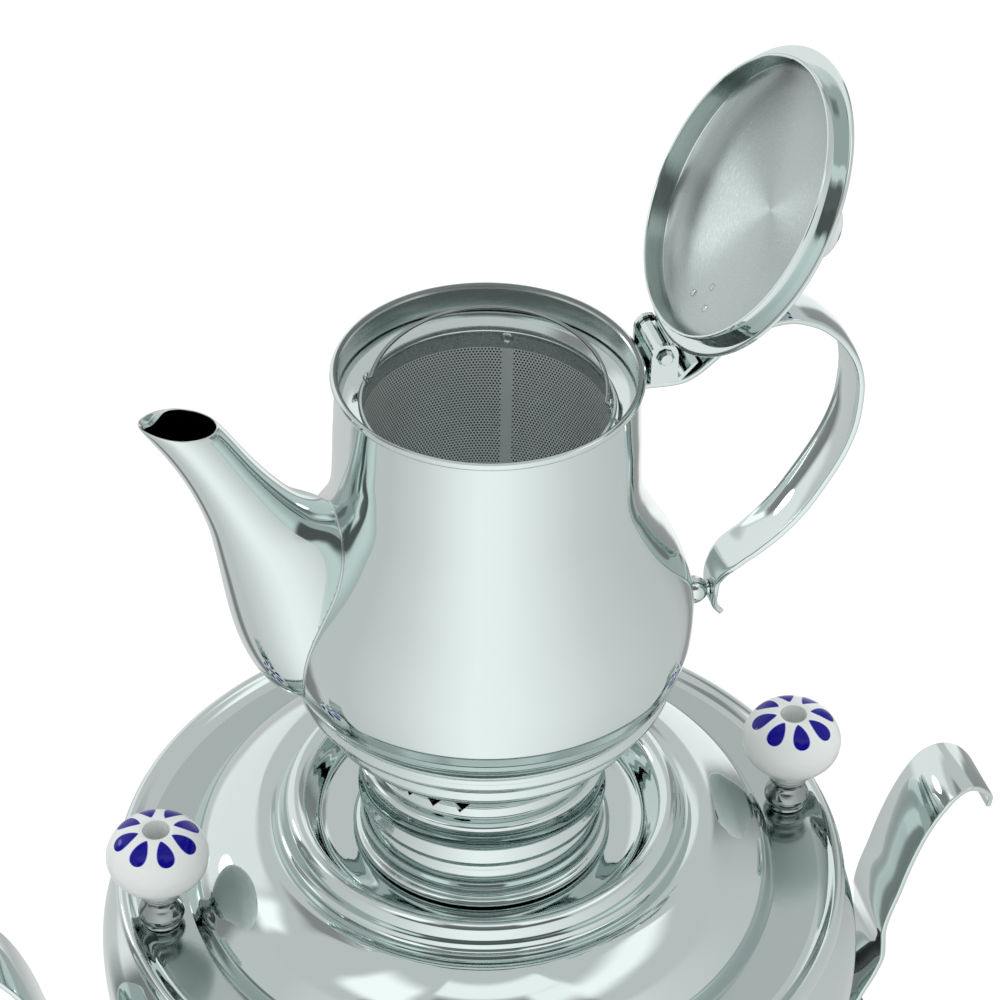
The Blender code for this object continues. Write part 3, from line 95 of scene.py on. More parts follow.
def mixed_in(tree, share, below, above):
    """Adds a Mix node, of colours where one of the two is a colour: from below to above with the share."""
    node = tree.nodes.new("ShaderNodeMix")
    if isinstance(above, tuple):
        node.data_type = "RGBA"
    tree.links.new(share, node.inputs["Factor"])
    for socket, value in (("A", below), ("B", above)):
        if isinstance(value, tuple):
            node.inputs[socket].default_value = (*value, 1.0)
        elif isinstance(value, float):
            node.inputs[socket].default_value = value
        else:
            tree.links.new(value, node.inputs[socket])
    return node.outputs["Result"]


def node_group(name, takes, gives, kind="Float"):
    """An empty node group, with what it takes, of one kind, and the plain values that it gives."""
    group = bpy.data.node_groups.new(name, "ShaderNodeTree")
    for direction, sockets, socket_kind in (("INPUT", takes, kind), ("OUTPUT", gives, "Float")):
        for socket in sockets:
            group.interface.new_socket(socket, in_out=direction, socket_type="NodeSocket" + socket_kind)
    return group, group.nodes.new("NodeGroupInput"), group.nodes.new("NodeGroupOutput")


def tent_group():
    """How bright the tent is in a direction from the samovar: a wide bright front that fades to both
    sides, a dark gap above it where the camera looks in, bright panels in the roof and at the back,
    and grey between them."""
    group, inputs, outputs = node_group("tent_panels", ["Place"], ["Shade"], "Vector")
    tree, wires = group.nodes, group.links
    worked = math_in(group)

    def dotted(direction):
        node = tree.new("ShaderNodeVectorMath")
        node.operation = "DOT_PRODUCT"
        wires.new(inputs.outputs["Place"], node.inputs[0])
        node.inputs[1].default_value = direction
        return node.outputs["Value"]

    def passed(value, degrees, soft):
        edge = ramp_in(group, value, from_min=math.radians(degrees - soft),
                       from_max=math.radians(degrees + soft))
        edge.interpolation_type = "SMOOTHSTEP"
        return edge.outputs[0]

    bearing = worked("ARCTAN2", dotted((*sideways, 0.0)), dotted((*towards, 0.0)))
    reach = tree.new("ShaderNodeVectorMath")
    reach.operation = "LENGTH"
    wires.new(inputs.outputs["Place"], reach.inputs[0])
    rise = worked("ARCSINE", worked("DIVIDE", dotted((0.0, 0.0, 1.0)), reach.outputs["Value"]))
    round_front = tree.new("ShaderNodeValToRGB")
    # The ramp holds no more than 1, so its shades are kept as shares of the fullest one.
    full, gain = 1.1, 1.22
    for number, (degrees, shade) in enumerate((
            (-180, 0.5), (180, 0.5), (-150, 0.6), (-120, 0.66), (-113, 0.40), (-110, 0.22), (-100, 0.26),
            (-95, 0.62), (-72, 0.62), (-45, 0.76), (-20, 0.96), (-4, 1.05), (14, 1.02), (40, 0.88), (67, 0.72),
            (99, 0.63), (119, 0.60), (130, 0.52), (137, 0.30), (147, 0.34), (153, 0.8), (166, 0.85), (172, 0.6))):
        share = (degrees + 180) / 360
        stops = round_front.color_ramp.elements
        stop = stops[number] if number < 2 else stops.new(share)
        stop.position = share
        stop.color = (shade / full, shade / full, shade / full, 1.0)
    wires.new(worked("MULTIPLY_ADD", bearing, 0.5 / math.pi, 0.5), round_front.inputs[0])
    shade = worked("MULTIPLY", round_front.outputs["Color"], full)
    shade = mixed_in(group, passed(rise, 29, 5), shade, 0.61)
    # Each panel: brightness, left, right, bottom and top in degrees, and how soft its edges are.
    for bright, left, right_end, bottom, top, soft in (
            (0.90, -165, -114, -5, 40, 4), (0.95, 150, 168, -26, 27, 3), (1.20, -112, -97, 32, 43, 3),
            (0.28, -146, -100, 52, 66, 4), (0.14, -49, 51, 31, 50, 3), (0.18, -25, 27, 47, 63, 3),
            (1.16, -65, -35, 46, 67, 4), (1.05, 30, 56, 54, 67, 3), (1.12, 50, 117, 49, 61, 4),
            (1.04, -28, 54, 66, 75, 1.5)):
        inside = worked("MULTIPLY", passed(bearing, left, soft),
                        worked("SUBTRACT", 1.0, passed(bearing, right_end, soft)))
        inside = worked("MULTIPLY", inside, passed(rise, bottom, soft))
        inside = worked("MULTIPLY", inside, worked("SUBTRACT", 1.0, passed(rise, top, soft)))
        shade = mixed_in(group, inside, shade, bright)
    wires.new(worked("MULTIPLY", shade, gain), outputs.inputs["Shade"])
    return group


tent_panels = tent_group()


def glowing(nodes, links, drop):
    """A surface that glows as the tent does, seen from its middle at a height above the surface."""
    place = nodes.new("ShaderNodeTexCoord")
    from_middle = nodes.new("ShaderNodeMapping")
    from_middle.inputs["Location"].default_value = (0.0, 0.0, -drop)
    panels = nodes.new("ShaderNodeGroup")
    panels.node_tree = tent_panels
    glow = nodes.new("ShaderNodeEmission")
    links.new(place.outputs["Object"], from_middle.inputs["Vector"])
    links.new(from_middle.outputs[0], panels.inputs["Place"])
    links.new(panels.outputs["Shade"], glow.inputs["Strength"])
    return glow


bpy.ops.object.select_all(action="DESELECT")
bpy.ops.mesh.primitive_circle_add(vertices=64, radius=6.0, fill_type="NGON", location=(0.0, 0.0, -0.0031))
sweep = bpy.context.object
sweep.name = "studio_sweep"
paper = bpy.data.materials.new("white_paper")
paper.use_nodes = True
nodes, links = paper.node_tree.nodes, paper.node_tree.links
nodes.clear()
output = nodes.new("ShaderNodeOutputMaterial")
matt = nodes.new("ShaderNodeBsdfDiffuse")
matt.inputs["Color"].default_value = (0.80, 0.81, 0.81, 1.0)
lift = nodes.new("ShaderNodeEmission")
lift.inputs["Strength"].default_value = 0.36
together = nodes.new("ShaderNodeAddShader")
ray = nodes.new("ShaderNodeLightPath")
in_metal, seen_straight = nodes.new("ShaderNodeMixShader"), nodes.new("ShaderNodeMixShader")
links.new(matt.outputs[0], together.inputs[0])
links.new(lift.outputs[0], together.inputs[1])
links.new(ray.outputs["Is Glossy Ray"], in_metal.inputs[0])
links.new(matt.outputs[0], in_metal.inputs[1])
links.new(glowing(nodes, links, tent_height).outputs[0], in_metal.inputs[2])
links.new(math_in(paper.node_tree)("MAXIMUM", ray.outputs["Is Camera Ray"], ray.outputs["Is Transmission Ray"]),
          seen_straight.inputs[0])
links.new(in_metal.outputs[0], seen_straight.inputs[1])
links.new(together.outputs[0], seen_straight.inputs[2])
links.new(seen_straight.outputs[0], output.inputs["Surface"])
sweep.data.materials.append(paper)

room = bpy.data.worlds.new("pale_room")
scene.world = room
room.use_nodes = True
nodes, links = room.node_tree.nodes, room.node_tree.links
seen = nodes.new("ShaderNodeLightPath")
larger = math_in(room.node_tree)
straight_or_in_metal = larger("MAXIMUM", seen.outputs["Is Camera Ray"], seen.outputs["Is Glossy Ray"])
strength = ramp_in(room.node_tree, larger("MAXIMUM", straight_or_in_metal, seen.outputs["Is Transmission Ray"]),
                   to_min=0.82, to_max=1.0)
nodes["Background"].inputs["Color"].default_value = (1.0, 1.0, 1.0, 1.0)
links.new(strength.outputs[0], nodes["Background"].inputs["Strength"])

bpy.ops.object.select_all(action="DESELECT")
bpy.ops.mesh.primitive_uv_sphere_add(segments=96, ring_count=48, radius=5.5, location=(0.0, 0.0, tent_height))
tent = bpy.context.object
tent.name = "studio_tent"
for setting in ("visible_camera", "visible_diffuse", "visible_shadow", "visible_transmission",
                "visible_volume_scatter"):
    setattr(tent, setting, False)
cloth = bpy.data.materials.new("tent_cloth")
cloth.use_nodes = True
nodes, links = cloth.node_tree.nodes, cloth.node_tree.links
nodes.clear()
output = nodes.new("ShaderNodeOutputMaterial")
links.new(glowing(nodes, links, 0.0).outputs[0], output.inputs["Surface"])
tent.data.materials.append(cloth)

# Each softbox: bearing from the camera's side, height angle, width and brightness.
for name, bearing, rise, wide, bright in (
        ("softbox_left", -52, 52, 1.0, 0.55), ("softbox_right", 84, 54, 1.0, 0.45),
        ("softbox_top", 12, 74, 0.8, 0.40), ("spot_back", -117, 17, 0.3, 3.5)):
    bearing, rise = math.radians(bearing), math.radians(rise)
    flat = [math.cos(bearing) * a + math.sin(bearing) * b for a, b in zip(towards, sideways)]
    direction = Vector((math.cos(rise) * flat[0], math.cos(rise) * flat[1], math.sin(rise)))
    lamp_data = bpy.data.lights.new(name, "AREA")
    lamp_data.shape = "DISK"
    lamp_data.size = wide
    lamp_data.energy = bright * math.pi * math.pi * wide * wide / 4
    lamp = bpy.data.objects.new(name, lamp_data)
    scene.collection.objects.link(lamp)
    lamp.visible_glossy = name == "spot_back"
    lamp.location = Vector((0.0, 0.0, 0.3)) + direction * 1.6
    lamp.rotation_euler = direction.to_track_quat("Z", "Y").to_euler()

# Rubber feet and bottom cover: four moulded feet are pressed into a black moulded cover, which closes
# the base from below. The cover is turned up round its edge and has a stiffening rib.


def flowing(points, gap=1.0):
    """The smooth line through the points, in millimetres. A point given twice stays a corner."""
    runs, run = [], [points[0]]
    for point in points[1:]:
        if point == run[-1]:
            runs.append(run)
            run = [point]
        else:
            run.append(point)
    runs.append(run)
    line = [points[0]]
    for run in runs:
        if len(run) < 2:
            continue
        run = [Vector(point) for point in run]
        run = [2 * run[0] - run[1]] + run + [2 * run[-1] - run[-2]]
        for a, b, c, d in zip(run, run[1:], run[2:], run[3:]):
            knots = [0.0]
            for start, end in ((a, b), (b, c), (c, d)):
                knots.append(knots[-1] + max((end - start).length, 1e-6) ** 0.5)
            count = max(1, math.ceil((c - b).length / gap)) if len(run) > 4 else 1
            for step in range(1, count + 1):
                t = knots[1] + (knots[2] - knots[1]) * step / count
                ab = a.lerp(b, (t - knots[0]) / (knots[1] - knots[0]))
                bc = b.lerp(c, (t - knots[1]) / (knots[2] - knots[1]))
                cd = c.lerp(d, (t - knots[2]) / (knots[3] - knots[2]))
                abc = ab.lerp(bc, (t - knots[0]) / (knots[2] - knots[0]))
                bcd = bc.lerp(cd, (t - knots[1]) / (knots[3] - knots[1]))
                line.append(tuple(abc.lerp(bcd, (t - knots[1]) / (knots[2] - knots[1]))))
    return line


def spun(name, outline, steps=128, level=0.0, sharp=32.0):
    """A piece spun round the upright axis from an outline of (radius, height) in millimetres."""
    outline = [(across / 1000, (along + level) / 1000) for across, along in outline]
    bpy.ops.object.select_all(action="DESELECT")
    bpy.ops.mesh.primitive_plane_add(size=0.001, location=(outline[0][0], 0.0, outline[0][1]))
    piece = bpy.context.object
    piece.name = piece.data.name = name
    bpy.ops.object.mode_set(mode="EDIT")
    bpy.ops.mesh.select_all(action="SELECT")
    bpy.ops.mesh.merge(type="CENTER")
    for start, end in zip(outline, outline[1:]):
        bpy.ops.mesh.extrude_vertices_move(
            TRANSFORM_OT_translate={"value": (end[0] - start[0], 0.0, end[1] - start[1])})
    bpy.ops.mesh.select_all(action="SELECT")
    bpy.ops.mesh.spin(steps=steps, angle=math.tau, center=(0.0, 0.0, 0.0), axis=(0.0, 0.0, 1.0))
    bpy.ops.mesh.select_all(action="SELECT")
    bpy.ops.mesh.remove_doubles(threshold=1e-6)
    bpy.ops.mesh.normals_make_consistent(inside=False)
    bpy.ops.object.mode_set(mode="OBJECT")
    bpy.ops.object.transform_apply(location=True, rotation=True, scale=True)
    bpy.ops.object.shade_smooth_by_angle(angle=math.radians(sharp))
    return piece


def picked(piece, *others):
    """Selects a piece, and others with it, and makes the first the active one."""
    bpy.ops.object.select_all(action="DESELECT")
    for each in (piece, *others):
        each.select_set(True)
    bpy.context.view_layer.objects.active = piece
    return piece


def softened(piece, width, segments=2, angle=40.0):
    """Breaks a piece's sharp edges by a width in millimetres."""
    picked(piece)
    bevel = piece.modifiers.new("broken_edges", "BEVEL")
    bevel.width = width / 1000
    bevel.segments = segments
    bevel.limit_method = "ANGLE"
    bevel.angle_limit = math.radians(angle)
    bevel.use_clamp_overlap = True
    bpy.ops.object.modifier_apply(modifier=bevel.name)
    bpy.ops.object.shade_smooth_by_angle(angle=math.radians(angle))
    return piece


def moved(piece, matrix):
    """Puts a finished piece in its place and leaves its object at the origin."""
    picked(piece)
    piece.matrix_world = matrix @ piece.matrix_world
    bpy.ops.object.transform_apply(location=True, rotation=True, scale=True)
    return piece


def seated(piece, body, material, slot_name, *nodes_replaced):
    """Gives a piece its finish, its body and the solids it stands for."""
    if not piece.data.materials:
        piece.data.materials.append(material)
    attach(piece, body)
    if nodes_replaced:
        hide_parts(*nodes_replaced)
    return piece


def finished(material, *names):
    """Gives solids that stay as they are their finish."""
    for name in names:
        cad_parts[name].data.materials.clear()
        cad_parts[name].data.materials.append(material)


def plain_finish(name, colour, roughness, metallic=0.0):
    """A Principled material with the plain values of one finish."""
    material = bpy.data.materials.new(name)
    material.use_nodes = True
    shader = material.node_tree.nodes["Principled BSDF"]
    shader.inputs["Base Color"].default_value = (*colour, 1.0)
    shader.inputs["Roughness"].default_value = roughness
    shader.inputs["Metallic"].default_value = metallic
    return material, shader


def grain_group():
    """Fine moulded or ground grain: a slightly changing roughness and height."""
    group, inputs, outputs = node_group("fine_grain", ["Scale", "Low", "High"], ["Roughness", "Height"])
    tree, wires = group.nodes, group.links
    where = tree.new("ShaderNodeTexCoord")
    fine = tree.new("ShaderNodeTexNoise")
    fine.inputs["Detail"].default_value = 4.0
    wires.new(where.outputs["Object"], fine.inputs["Vector"])
    wires.new(inputs.outputs["Scale"], fine.inputs["Scale"])
    spread = ramp_in(group, fine.outputs["Fac"])
    wires.new(inputs.outputs["Low"], spread.inputs["To Min"])
    wires.new(inputs.outputs["High"], spread.inputs["To Max"])
    wires.new(spread.outputs[0], outputs.inputs["Roughness"])
    wires.new(fine.outputs["Fac"], outputs.inputs["Height"])
    return group


fine_grain = grain_group()


def marked(material, shader, group, relief, **values):
    """Puts a group's roughness on a finish, and its height as relief in metres."""
    tree, wires = material.node_tree.nodes, material.node_tree.links
    marks = tree.new("ShaderNodeGroup")
    marks.node_tree = group
    for socket, value in values.items():
        marks.inputs[socket].default_value = value
    wires.new(marks.outputs["Roughness"], shader.inputs["Roughness"])
    if relief:
        bump = tree.new("ShaderNodeBump")
        bump.inputs["Distance"].default_value = relief
        wires.new(marks.outputs["Height"], bump.inputs["Height"])
        wires.new(bump.outputs["Normal"], shader.inputs["Normal"])
    return marks


def grained(material, shader, scale, low, high, depth):
    """Puts the fine grain on a finish, as roughness between low and high and as relief of a depth."""
    marked(material, shader, fine_grain, depth, Scale=scale, Low=low, High=high)
    return material


rubber = grained(*plain_finish("matt_rubber", (0.025, 0.025, 0.026), 0.8), 900.0, 0.7, 0.9, 0.00005)
moulded_black = grained(*plain_finish("moulded_black", (0.03, 0.03, 0.032), 0.4), 1400.0, 0.34, 0.5, 0.00003)

for number, (across, along) in enumerate(((1, 1), (-1, 1), (-1, -1), (1, -1)), start=1):
    foot = spun("foot_%d" % number, [(0.0, 0.1), (10.0, 0.1), (9.0, -3.0), (7.6, -3.0), (7.2, -2.6),
                                     (0.0, -2.6), (0.0, 0.1)], 48)
    softened(foot, 0.35)
    moved(foot, Matrix.Translation((across * 0.0495, along * 0.0495, 0.0)))
    seated(foot, "samovar_body", rubber, "rubber", "rubber_foot_%d" % number)

cover = spun("base_cover", [(0.0, 2.0), (80.8, 2.0), (80.8, 6.0), (82.3, 6.0), (82.3, 2.0), (89.0, 2.0),
                            (88.0, 0.4), (40.4, 0.4), (40.0, 0.0), (0.0, 0.0), (0.0, 2.0)])
softened(cover, 0.3)
seated(cover, "samovar_body", moulded_black, "black_plastic", "bottom_cover")

# Base housing: one drawn shell of mirror-polished stainless steel. Its upright band carries the dial,
# the pilot lamp and the power inlet, and its neck is rolled over the pedestal's foot.


def polish_group():
    """Mirror polish as it comes off the mop: faint smears and hair scratches."""
    group, inputs, outputs = node_group("mop_polish", ["Haze"], ["Roughness", "Height"])
    tree, wires = group.nodes, group.links
    where = tree.new("ShaderNodeTexCoord")
    smear, hairs = tree.new("ShaderNodeTexNoise"), tree.new("ShaderNodeTexNoise")
    for noise, scale, detail in ((smear, 28.0, 3.0), (hairs, 4.0, 2.0)):
        noise.inputs["Scale"].default_value = scale
        noise.inputs["Detail"].default_value = detail
    stretch = tree.new("ShaderNodeMapping")
    stretch.inputs["Scale"].default_value = (420.0, 420.0, 60.0)
    wires.new(where.outputs["Object"], smear.inputs["Vector"])
    wires.new(where.outputs["Object"], stretch.inputs["Vector"])
    wires.new(stretch.outputs[0], hairs.inputs["Vector"])
    worked = math_in(group)
    both = worked("MULTIPLY", smear.outputs["Fac"], hairs.outputs["Fac"])
    clearest = 0.02
    wires.new(worked("MULTIPLY_ADD", both, inputs.outputs["Haze"], clearest), outputs.inputs["Roughness"])
    wires.new(hairs.outputs["Fac"], outputs.inputs["Height"])
    return group


mop_polish = polish_group()


def polished(name, colour, haze):
    """A polished metal with the mop's own faint marks."""
    material, shader = plain_finish(name, colour, 0.05, 1.0)
    marked(material, shader, mop_polish, 0.0, Haze=haze)
    return material


mirror_steel = polished("mirror_steel", (0.605, 0.68, 0.667), 0.08)


def rod(radius, depth, place, lean=(0.0, 0.0, 0.0), sides=48):
    """A round bar, or one of few sides, at a place and leaned over from the upright."""
    bpy.ops.object.select_all(action="DESELECT")
    bpy.ops.mesh.primitive_cylinder_add(vertices=sides, radius=radius, depth=depth, location=place,
                                        rotation=lean)
    bpy.ops.object.transform_apply(location=True, rotation=True, scale=True)
    return bpy.context.object


def cut_away(piece, cutter):
    """Cuts a closed shape out of a piece and throws the cutter away."""
    picked(piece)
    opening = piece.modifiers.new("opening", "BOOLEAN")
    opening.object = cutter
    opening.solver = "EXACT"
    bpy.ops.object.modifier_apply(modifier=opening.name)
    bpy.data.objects.remove(cutter, do_unlink=True)


def smoothed(piece, degrees=32):
    """Shades a piece smooth, but for its edges above an angle."""
    picked(piece)
    bpy.ops.object.shade_smooth_by_angle(angle=math.radians(degrees))


along_y, along_x = (math.pi / 2, 0.0, 0.0), (0.0, math.pi / 2, 0.0)
control_level = 0.01903
base = spun("base_shell", flowing([
    (32.0, 57.7), (32.0, 57.7), (49.4, 57.7), (51.4, 57.5), (52.6, 56.6), (52.7, 55.6), (51.9, 54.2),
    (51.7, 52.6), (52.8, 49.9), (55.98, 46.68), (60.5, 42.7), (66.04, 39.18), (72.0, 36.6),
    (77.96, 34.5), (83.2, 32.9), (85.97, 31.5), (87.04, 29.6), (86.4, 28.1), (84.99, 27.29),
    (84.99, 27.29), (84.99, 6.12), (84.99, 6.12), (86.9, 5.1), (88.38, 3.29), (88.9, 1.4), (89.0, 0.0),
    (89.0, 0.0), (87.43, 0.0), (87.43, 0.0), (86.91, 2.43), (83.4, 5.37), (83.4, 5.37), (83.4, 28.02),
    (83.4, 28.02), (85.13, 29.53), (84.77, 30.41), (65.25, 37.77), (54.81, 45.56), (49.84, 52.86),
    (50.6, 55.4), (49.3, 56.1), (32.0, 56.1), (32.0, 56.1), (32.0, 57.7)]), 160, 2.3)
cut_away(base, rod(0.0035, 0.02, (0.0, -0.084, control_level), along_y))
bpy.ops.mesh.primitive_cube_add(size=1.0, location=(0.0, 0.0845, control_level))
bpy.context.object.scale = (0.0262, 0.012, 0.0182)
bpy.ops.object.transform_apply(location=False, rotation=False, scale=True)
cut_away(base, bpy.context.object)
smoothed(base)
seated(base, "samovar_body", mirror_steel, "polished_steel", "base_housing")

# Controls: a fluted black dial on the thermostat's shaft, with a white pointer line moulded in its
# face, an orange pilot lamp beside it, and the moulded three-pin inlet at the back.
dial = spun("dial_knob", flowing([
    (0.0, 11.0), (0.0, 11.0), (6.6, 11.0), (7.6, 10.7), (8.2, 9.9), (8.4, 8.6), (8.5, 3.4), (8.8, 2.4),
    (10.0, 1.9), (10.4, 1.2), (10.4, 0.4), (10.4, 0.0), (10.4, 0.0), (3.25, 0.0), (3.25, 0.0), (3.25, 5.5),
    (3.25, 5.5), (0.0, 5.5), (0.0, 5.5), (0.0, 11.0)]), 72)
bpy.ops.object.mode_set(mode="EDIT")
flutes = bmesh.from_edit_mesh(dial.data)
flute_count, flute_share = 18, 0.035
for vertex in flutes.verts:
    across = math.hypot(vertex.co.x, vertex.co.y)
    bearing_now = math.atan2(vertex.co.y, vertex.co.x)
    if 0.0032 < vertex.co.z < 0.0098 and across > 0.008:
        swell = 1.0 + flute_share * math.cos(flute_count * bearing_now)
        vertex.co.x *= swell
        vertex.co.y *= swell
bmesh.update_edit_mesh(dial.data)
bpy.ops.object.mode_set(mode="OBJECT")
bpy.ops.object.select_all(action="DESELECT")
bpy.ops.mesh.primitive_cube_add(size=1.0, location=(0.0, 0.0046, 0.0111))
pointer = bpy.context.object
pointer.name = pointer.data.name = "dial_pointer"
pointer.scale = (0.0011, 0.0058, 0.0005)
bpy.ops.object.transform_apply(location=True, rotation=True, scale=True)
softened(pointer, 0.15)
dial_place = Matrix.Translation((0.0, -0.0856, control_level)) @ Matrix.Rotation(math.pi / 2, 4, "X")
moved(dial, dial_place)
moved(pointer, dial_place)
pointer_white, _ = plain_finish("pointer_white", (0.82, 0.82, 0.80), 0.45)
seated(dial, "control_dial", moulded_black, "black_plastic", "control_dial")
seated(pointer, "control_dial", pointer_white, "black_plastic")

lens, lens_shader = plain_finish("lamp_lens", (0.75, 0.12, 0.03), 0.15)
lens_shader.inputs["Coat Weight"].default_value = 0.5
lamp_cap = spun("lamp_lens", flowing([
    (0.0, 87.6), (1.6, 87.45), (2.9, 86.95), (3.8, 86.3), (4.2, 85.6), (4.2, 85.29), (4.2, 85.29), (0.0, 85.29),
    (0.0, 85.29), (0.0, 87.6)], 0.5), 48)
moved(lamp_cap, Matrix.Translation((0.0, 0.0, control_level)) @ Matrix.Rotation(math.radians(30), 4, "Z")
      @ Matrix.Rotation(math.pi / 2, 4, "X"))
seated(lamp_cap, "samovar_body", lens, "lamp_lens", "power_lamp")
finished(moulded_black, "power_inlet", "thermostat", "boil_dry_cutout")

# Pedestal: a waisted drawn stem of polished steel between the base and the vessel.
stem = spun("pedestal_stem", flowing([
    (36.0, 27.4), (36.0, 27.4), (52.4, 27.4), (54.0, 26.8), (53.9, 25.7), (52.6, 24.6), (49.8, 23.4),
    (46.98, 21.65), (44.4, 18.6), (43.09, 14.52), (43.9, 10.0), (46.49, 6.19), (49.6, 4.1),
    (52.2, 2.7), (52.7, 1.2), (52.0, 0.0), (52.0, 0.0), (36.0, 0.0), (36.0, 0.0), (36.0, 1.6),
    (36.0, 1.6), (50.75, 1.6), (45.21, 5.11), (41.32, 14.62), (45.81, 22.84), (52.0, 25.8),
    (36.0, 25.8), (36.0, 25.8), (36.0, 27.4)]), 160, 60.3)
seated(stem, "samovar_body", mirror_steel, "polished_steel", "pedestal")

# Water vessel: a deep-drawn bowl with a rolled rim, polished outside. The sheathed ring heater stands
# in its floor, held by two nuts from below.
vessel_level = 88.0
vessel = spun("water_vessel", flowing([
    (110.7, 164.2), (111.5, 165.64), (113.15, 165.73), (114.09, 164.38), (113.45, 162.86),
    (111.82, 162.6), (108.9, 161.6), (108.9, 161.6), (111.2, 160.0), (114.6, 156.8), (117.4, 153.4),
    (119.6, 148.9), (120.4, 143.0), (120.04, 132.99), (117.03, 113.95), (111.9, 88.0), (106.55, 61.98),
    (100.53, 41.0), (92.95, 25.02), (81.99, 13.56), (68.03, 4.52), (61.9, 1.5), (55.99, 0.0),
    (55.99, 0.0), (0.0, 0.0), (0.0, 0.0), (0.0, 1.4), (0.0, 1.4), (55.73, 1.4), (67.39, 5.78),
    (81.09, 14.64), (91.78, 25.82), (99.22, 41.49), (105.19, 62.31), (118.64, 133.13), (118.99, 142.87),
    (117.07, 151.38), (107.74, 160.29), (107.74, 160.29), (110.7, 164.2)], 2.0), 192, vessel_level)
seated(vessel, "samovar_body", mirror_steel, "polished_steel", "vessel")
sheath = grained(*plain_finish("heater_sheath", (0.4, 0.39, 0.37), 0.4, 1.0), 700.0, 0.3, 0.5, 0.00003)
plated_brass = polished("plated_brass", (0.70, 0.71, 0.69), 0.2)
finished(sheath, "heating_element")
finished(plated_brass, "heater_nut_1", "heater_nut_2")

# Tap: a cast and plated barrel on a shank through the vessel's wall, with a round rosette outside, a
# bent nozzle, a tapered key with its lever and a small porcelain knob, and a keeper nut below.
tap_out, tap_level = -0.12754, 0.129
rosette = spun("tap_rosette_plate", flowing([
    (6.75, 108.04), (6.75, 108.04), (8.7, 108.04), (10.2, 107.8), (12.2, 106.9), (13.9, 105.5),
    (14.5, 104.29), (14.5, 104.29), (14.5, 86.15), (14.5, 86.15), (6.75, 86.15), (6.75, 86.15),
    (6.75, 108.04)], 0.5), 96)
moved(rosette, Matrix.Translation((0.0, 0.0, tap_level)) @ Matrix.Rotation(math.pi / 2, 4, "X"))
vessel_plug = spun("vessel_plug", [
    (0.0, 164.0), (110.0, 161.0), (113.6, 157.9), (118.9, 152.1), (120.7, 143.0), (120.4, 133.0), (117.4, 114.0),
    (106.9, 62.0), (100.9, 41.0), (93.3, 25.0), (82.3, 13.3), (0.0, 4.0), (0.0, 164.0)], 192, vessel_level)
cut_away(rosette, vessel_plug)
seated(rosette, "samovar_body", mirror_steel, "polished_steel", "tap_rosette")

barrel = spun("tap_barrel", flowing([
    (7.3, 15.0), (7.3, 15.0), (8.8, 15.0), (9.6, 14.4), (9.8, 13.4), (9.8, 12.2), (9.3, 11.2),
    (9.0, 10.2), (9.0, 10.2), (9.0, -10.2), (9.0, -10.2), (9.3, -11.2), (9.8, -12.2), (9.8, -13.4),
    (9.0, -14.5), (7.8, -15.0), (7.8, -15.0), (6.5, -15.0), (6.5, -15.0), (7.3, 15.0)], 0.4), 64)
moved(barrel, Matrix.Translation((0.0, tap_out, tap_level)))
shank = rod(0.0065, 0.034, (0.0, -0.1033, tap_level), along_y)


def tube(name, bends, radius, steps, rounds, capped=True):
    """Round wire or tube of a radius along its bends, each a spot with a handle before and after it."""
    bpy.ops.object.select_all(action="DESELECT")
    bpy.ops.curve.primitive_bezier_curve_add(location=(0.0, 0.0, 0.0))
    run = bpy.context.object
    run.name = run.data.name = name
    points = run.data.splines[0].bezier_points
    if len(bends) > 2:
        points.add(len(bends) - 2)
    for point, (spot, before, after) in zip(points, bends):
        point.handle_left_type = point.handle_right_type = "FREE"
        point.co, point.handle_left, point.handle_right = spot, before, after
    run.data.resolution_u = steps
    run.data.bevel_depth = radius
    run.data.bevel_resolution = rounds
    run.data.use_fill_caps = capped
    bpy.ops.object.convert(target="MESH")
    return bpy.context.object


nozzle_out = -0.15354
nozzle = tube("tap_nozzle", (
    ((0.0, -0.1350, tap_level), (0.0, -0.1290, tap_level), (0.0, -0.1480, tap_level)),
    ((0.0, nozzle_out, 0.1013), (0.0, nozzle_out, 0.1200), (0.0, nozzle_out, 0.0950))), 0.0058, 32, 10, False)
wall = nozzle.modifiers.new("wall", "SOLIDIFY")
wall.thickness = 0.0018
wall.offset = -1.0
bpy.ops.object.modifier_apply(modifier=wall.name)
bpy.ops.object.select_all(action="DESELECT")
bpy.ops.mesh.primitive_torus_add(major_radius=0.0059, minor_radius=0.0006, major_segments=48, minor_segments=12,
                                 location=(0.0, nozzle_out, 0.1026))
picked(barrel, shank, nozzle, bpy.context.object)
bpy.ops.object.join()
smoothed(barrel, 35)
seated(barrel, "samovar_body", plated_brass, "plated_brass", "tap_body")

lever_hub = spun("lever_hub", flowing([
    (3.55, 6.0), (3.55, 6.0), (5.4, 6.0), (6.3, 5.5), (6.7, 4.4), (6.8, 3.0), (6.6, 1.4), (6.2, 0.0),
    (6.2, 0.0), (3.55, 0.0), (3.55, 0.0), (3.55, 6.0)], 0.5), 48)
moved(lever_hub, Matrix.Translation((0.0, tap_out, 0.14647)))
lever_tip, lever_level = -0.0270, 0.1493
lever = tube("lever_bar", (
    ((-0.0050, tap_out, lever_level), (0.0, tap_out, lever_level), (-0.0160, tap_out, lever_level)),
    ((lever_tip, tap_out, 0.1590), (lever_tip, tap_out, 0.1530), (lever_tip, tap_out, 0.1620))), 0.0024, 24, 8)
picked(lever_hub, lever)
bpy.ops.object.join()
seated(lever_hub, "tap_key", mirror_steel, "polished_steel", "tap_lever")
finished(plated_brass, "tap_plug", "tap_keeper_nut", "tap_nut")
finished(rubber, "tap_seal")

# Side handles: each has a broad polished leaf that curls over at the top, a dark turned grip on a stud,
# and a polished arm below. Both are bent strip, held to the vessel by short posts.


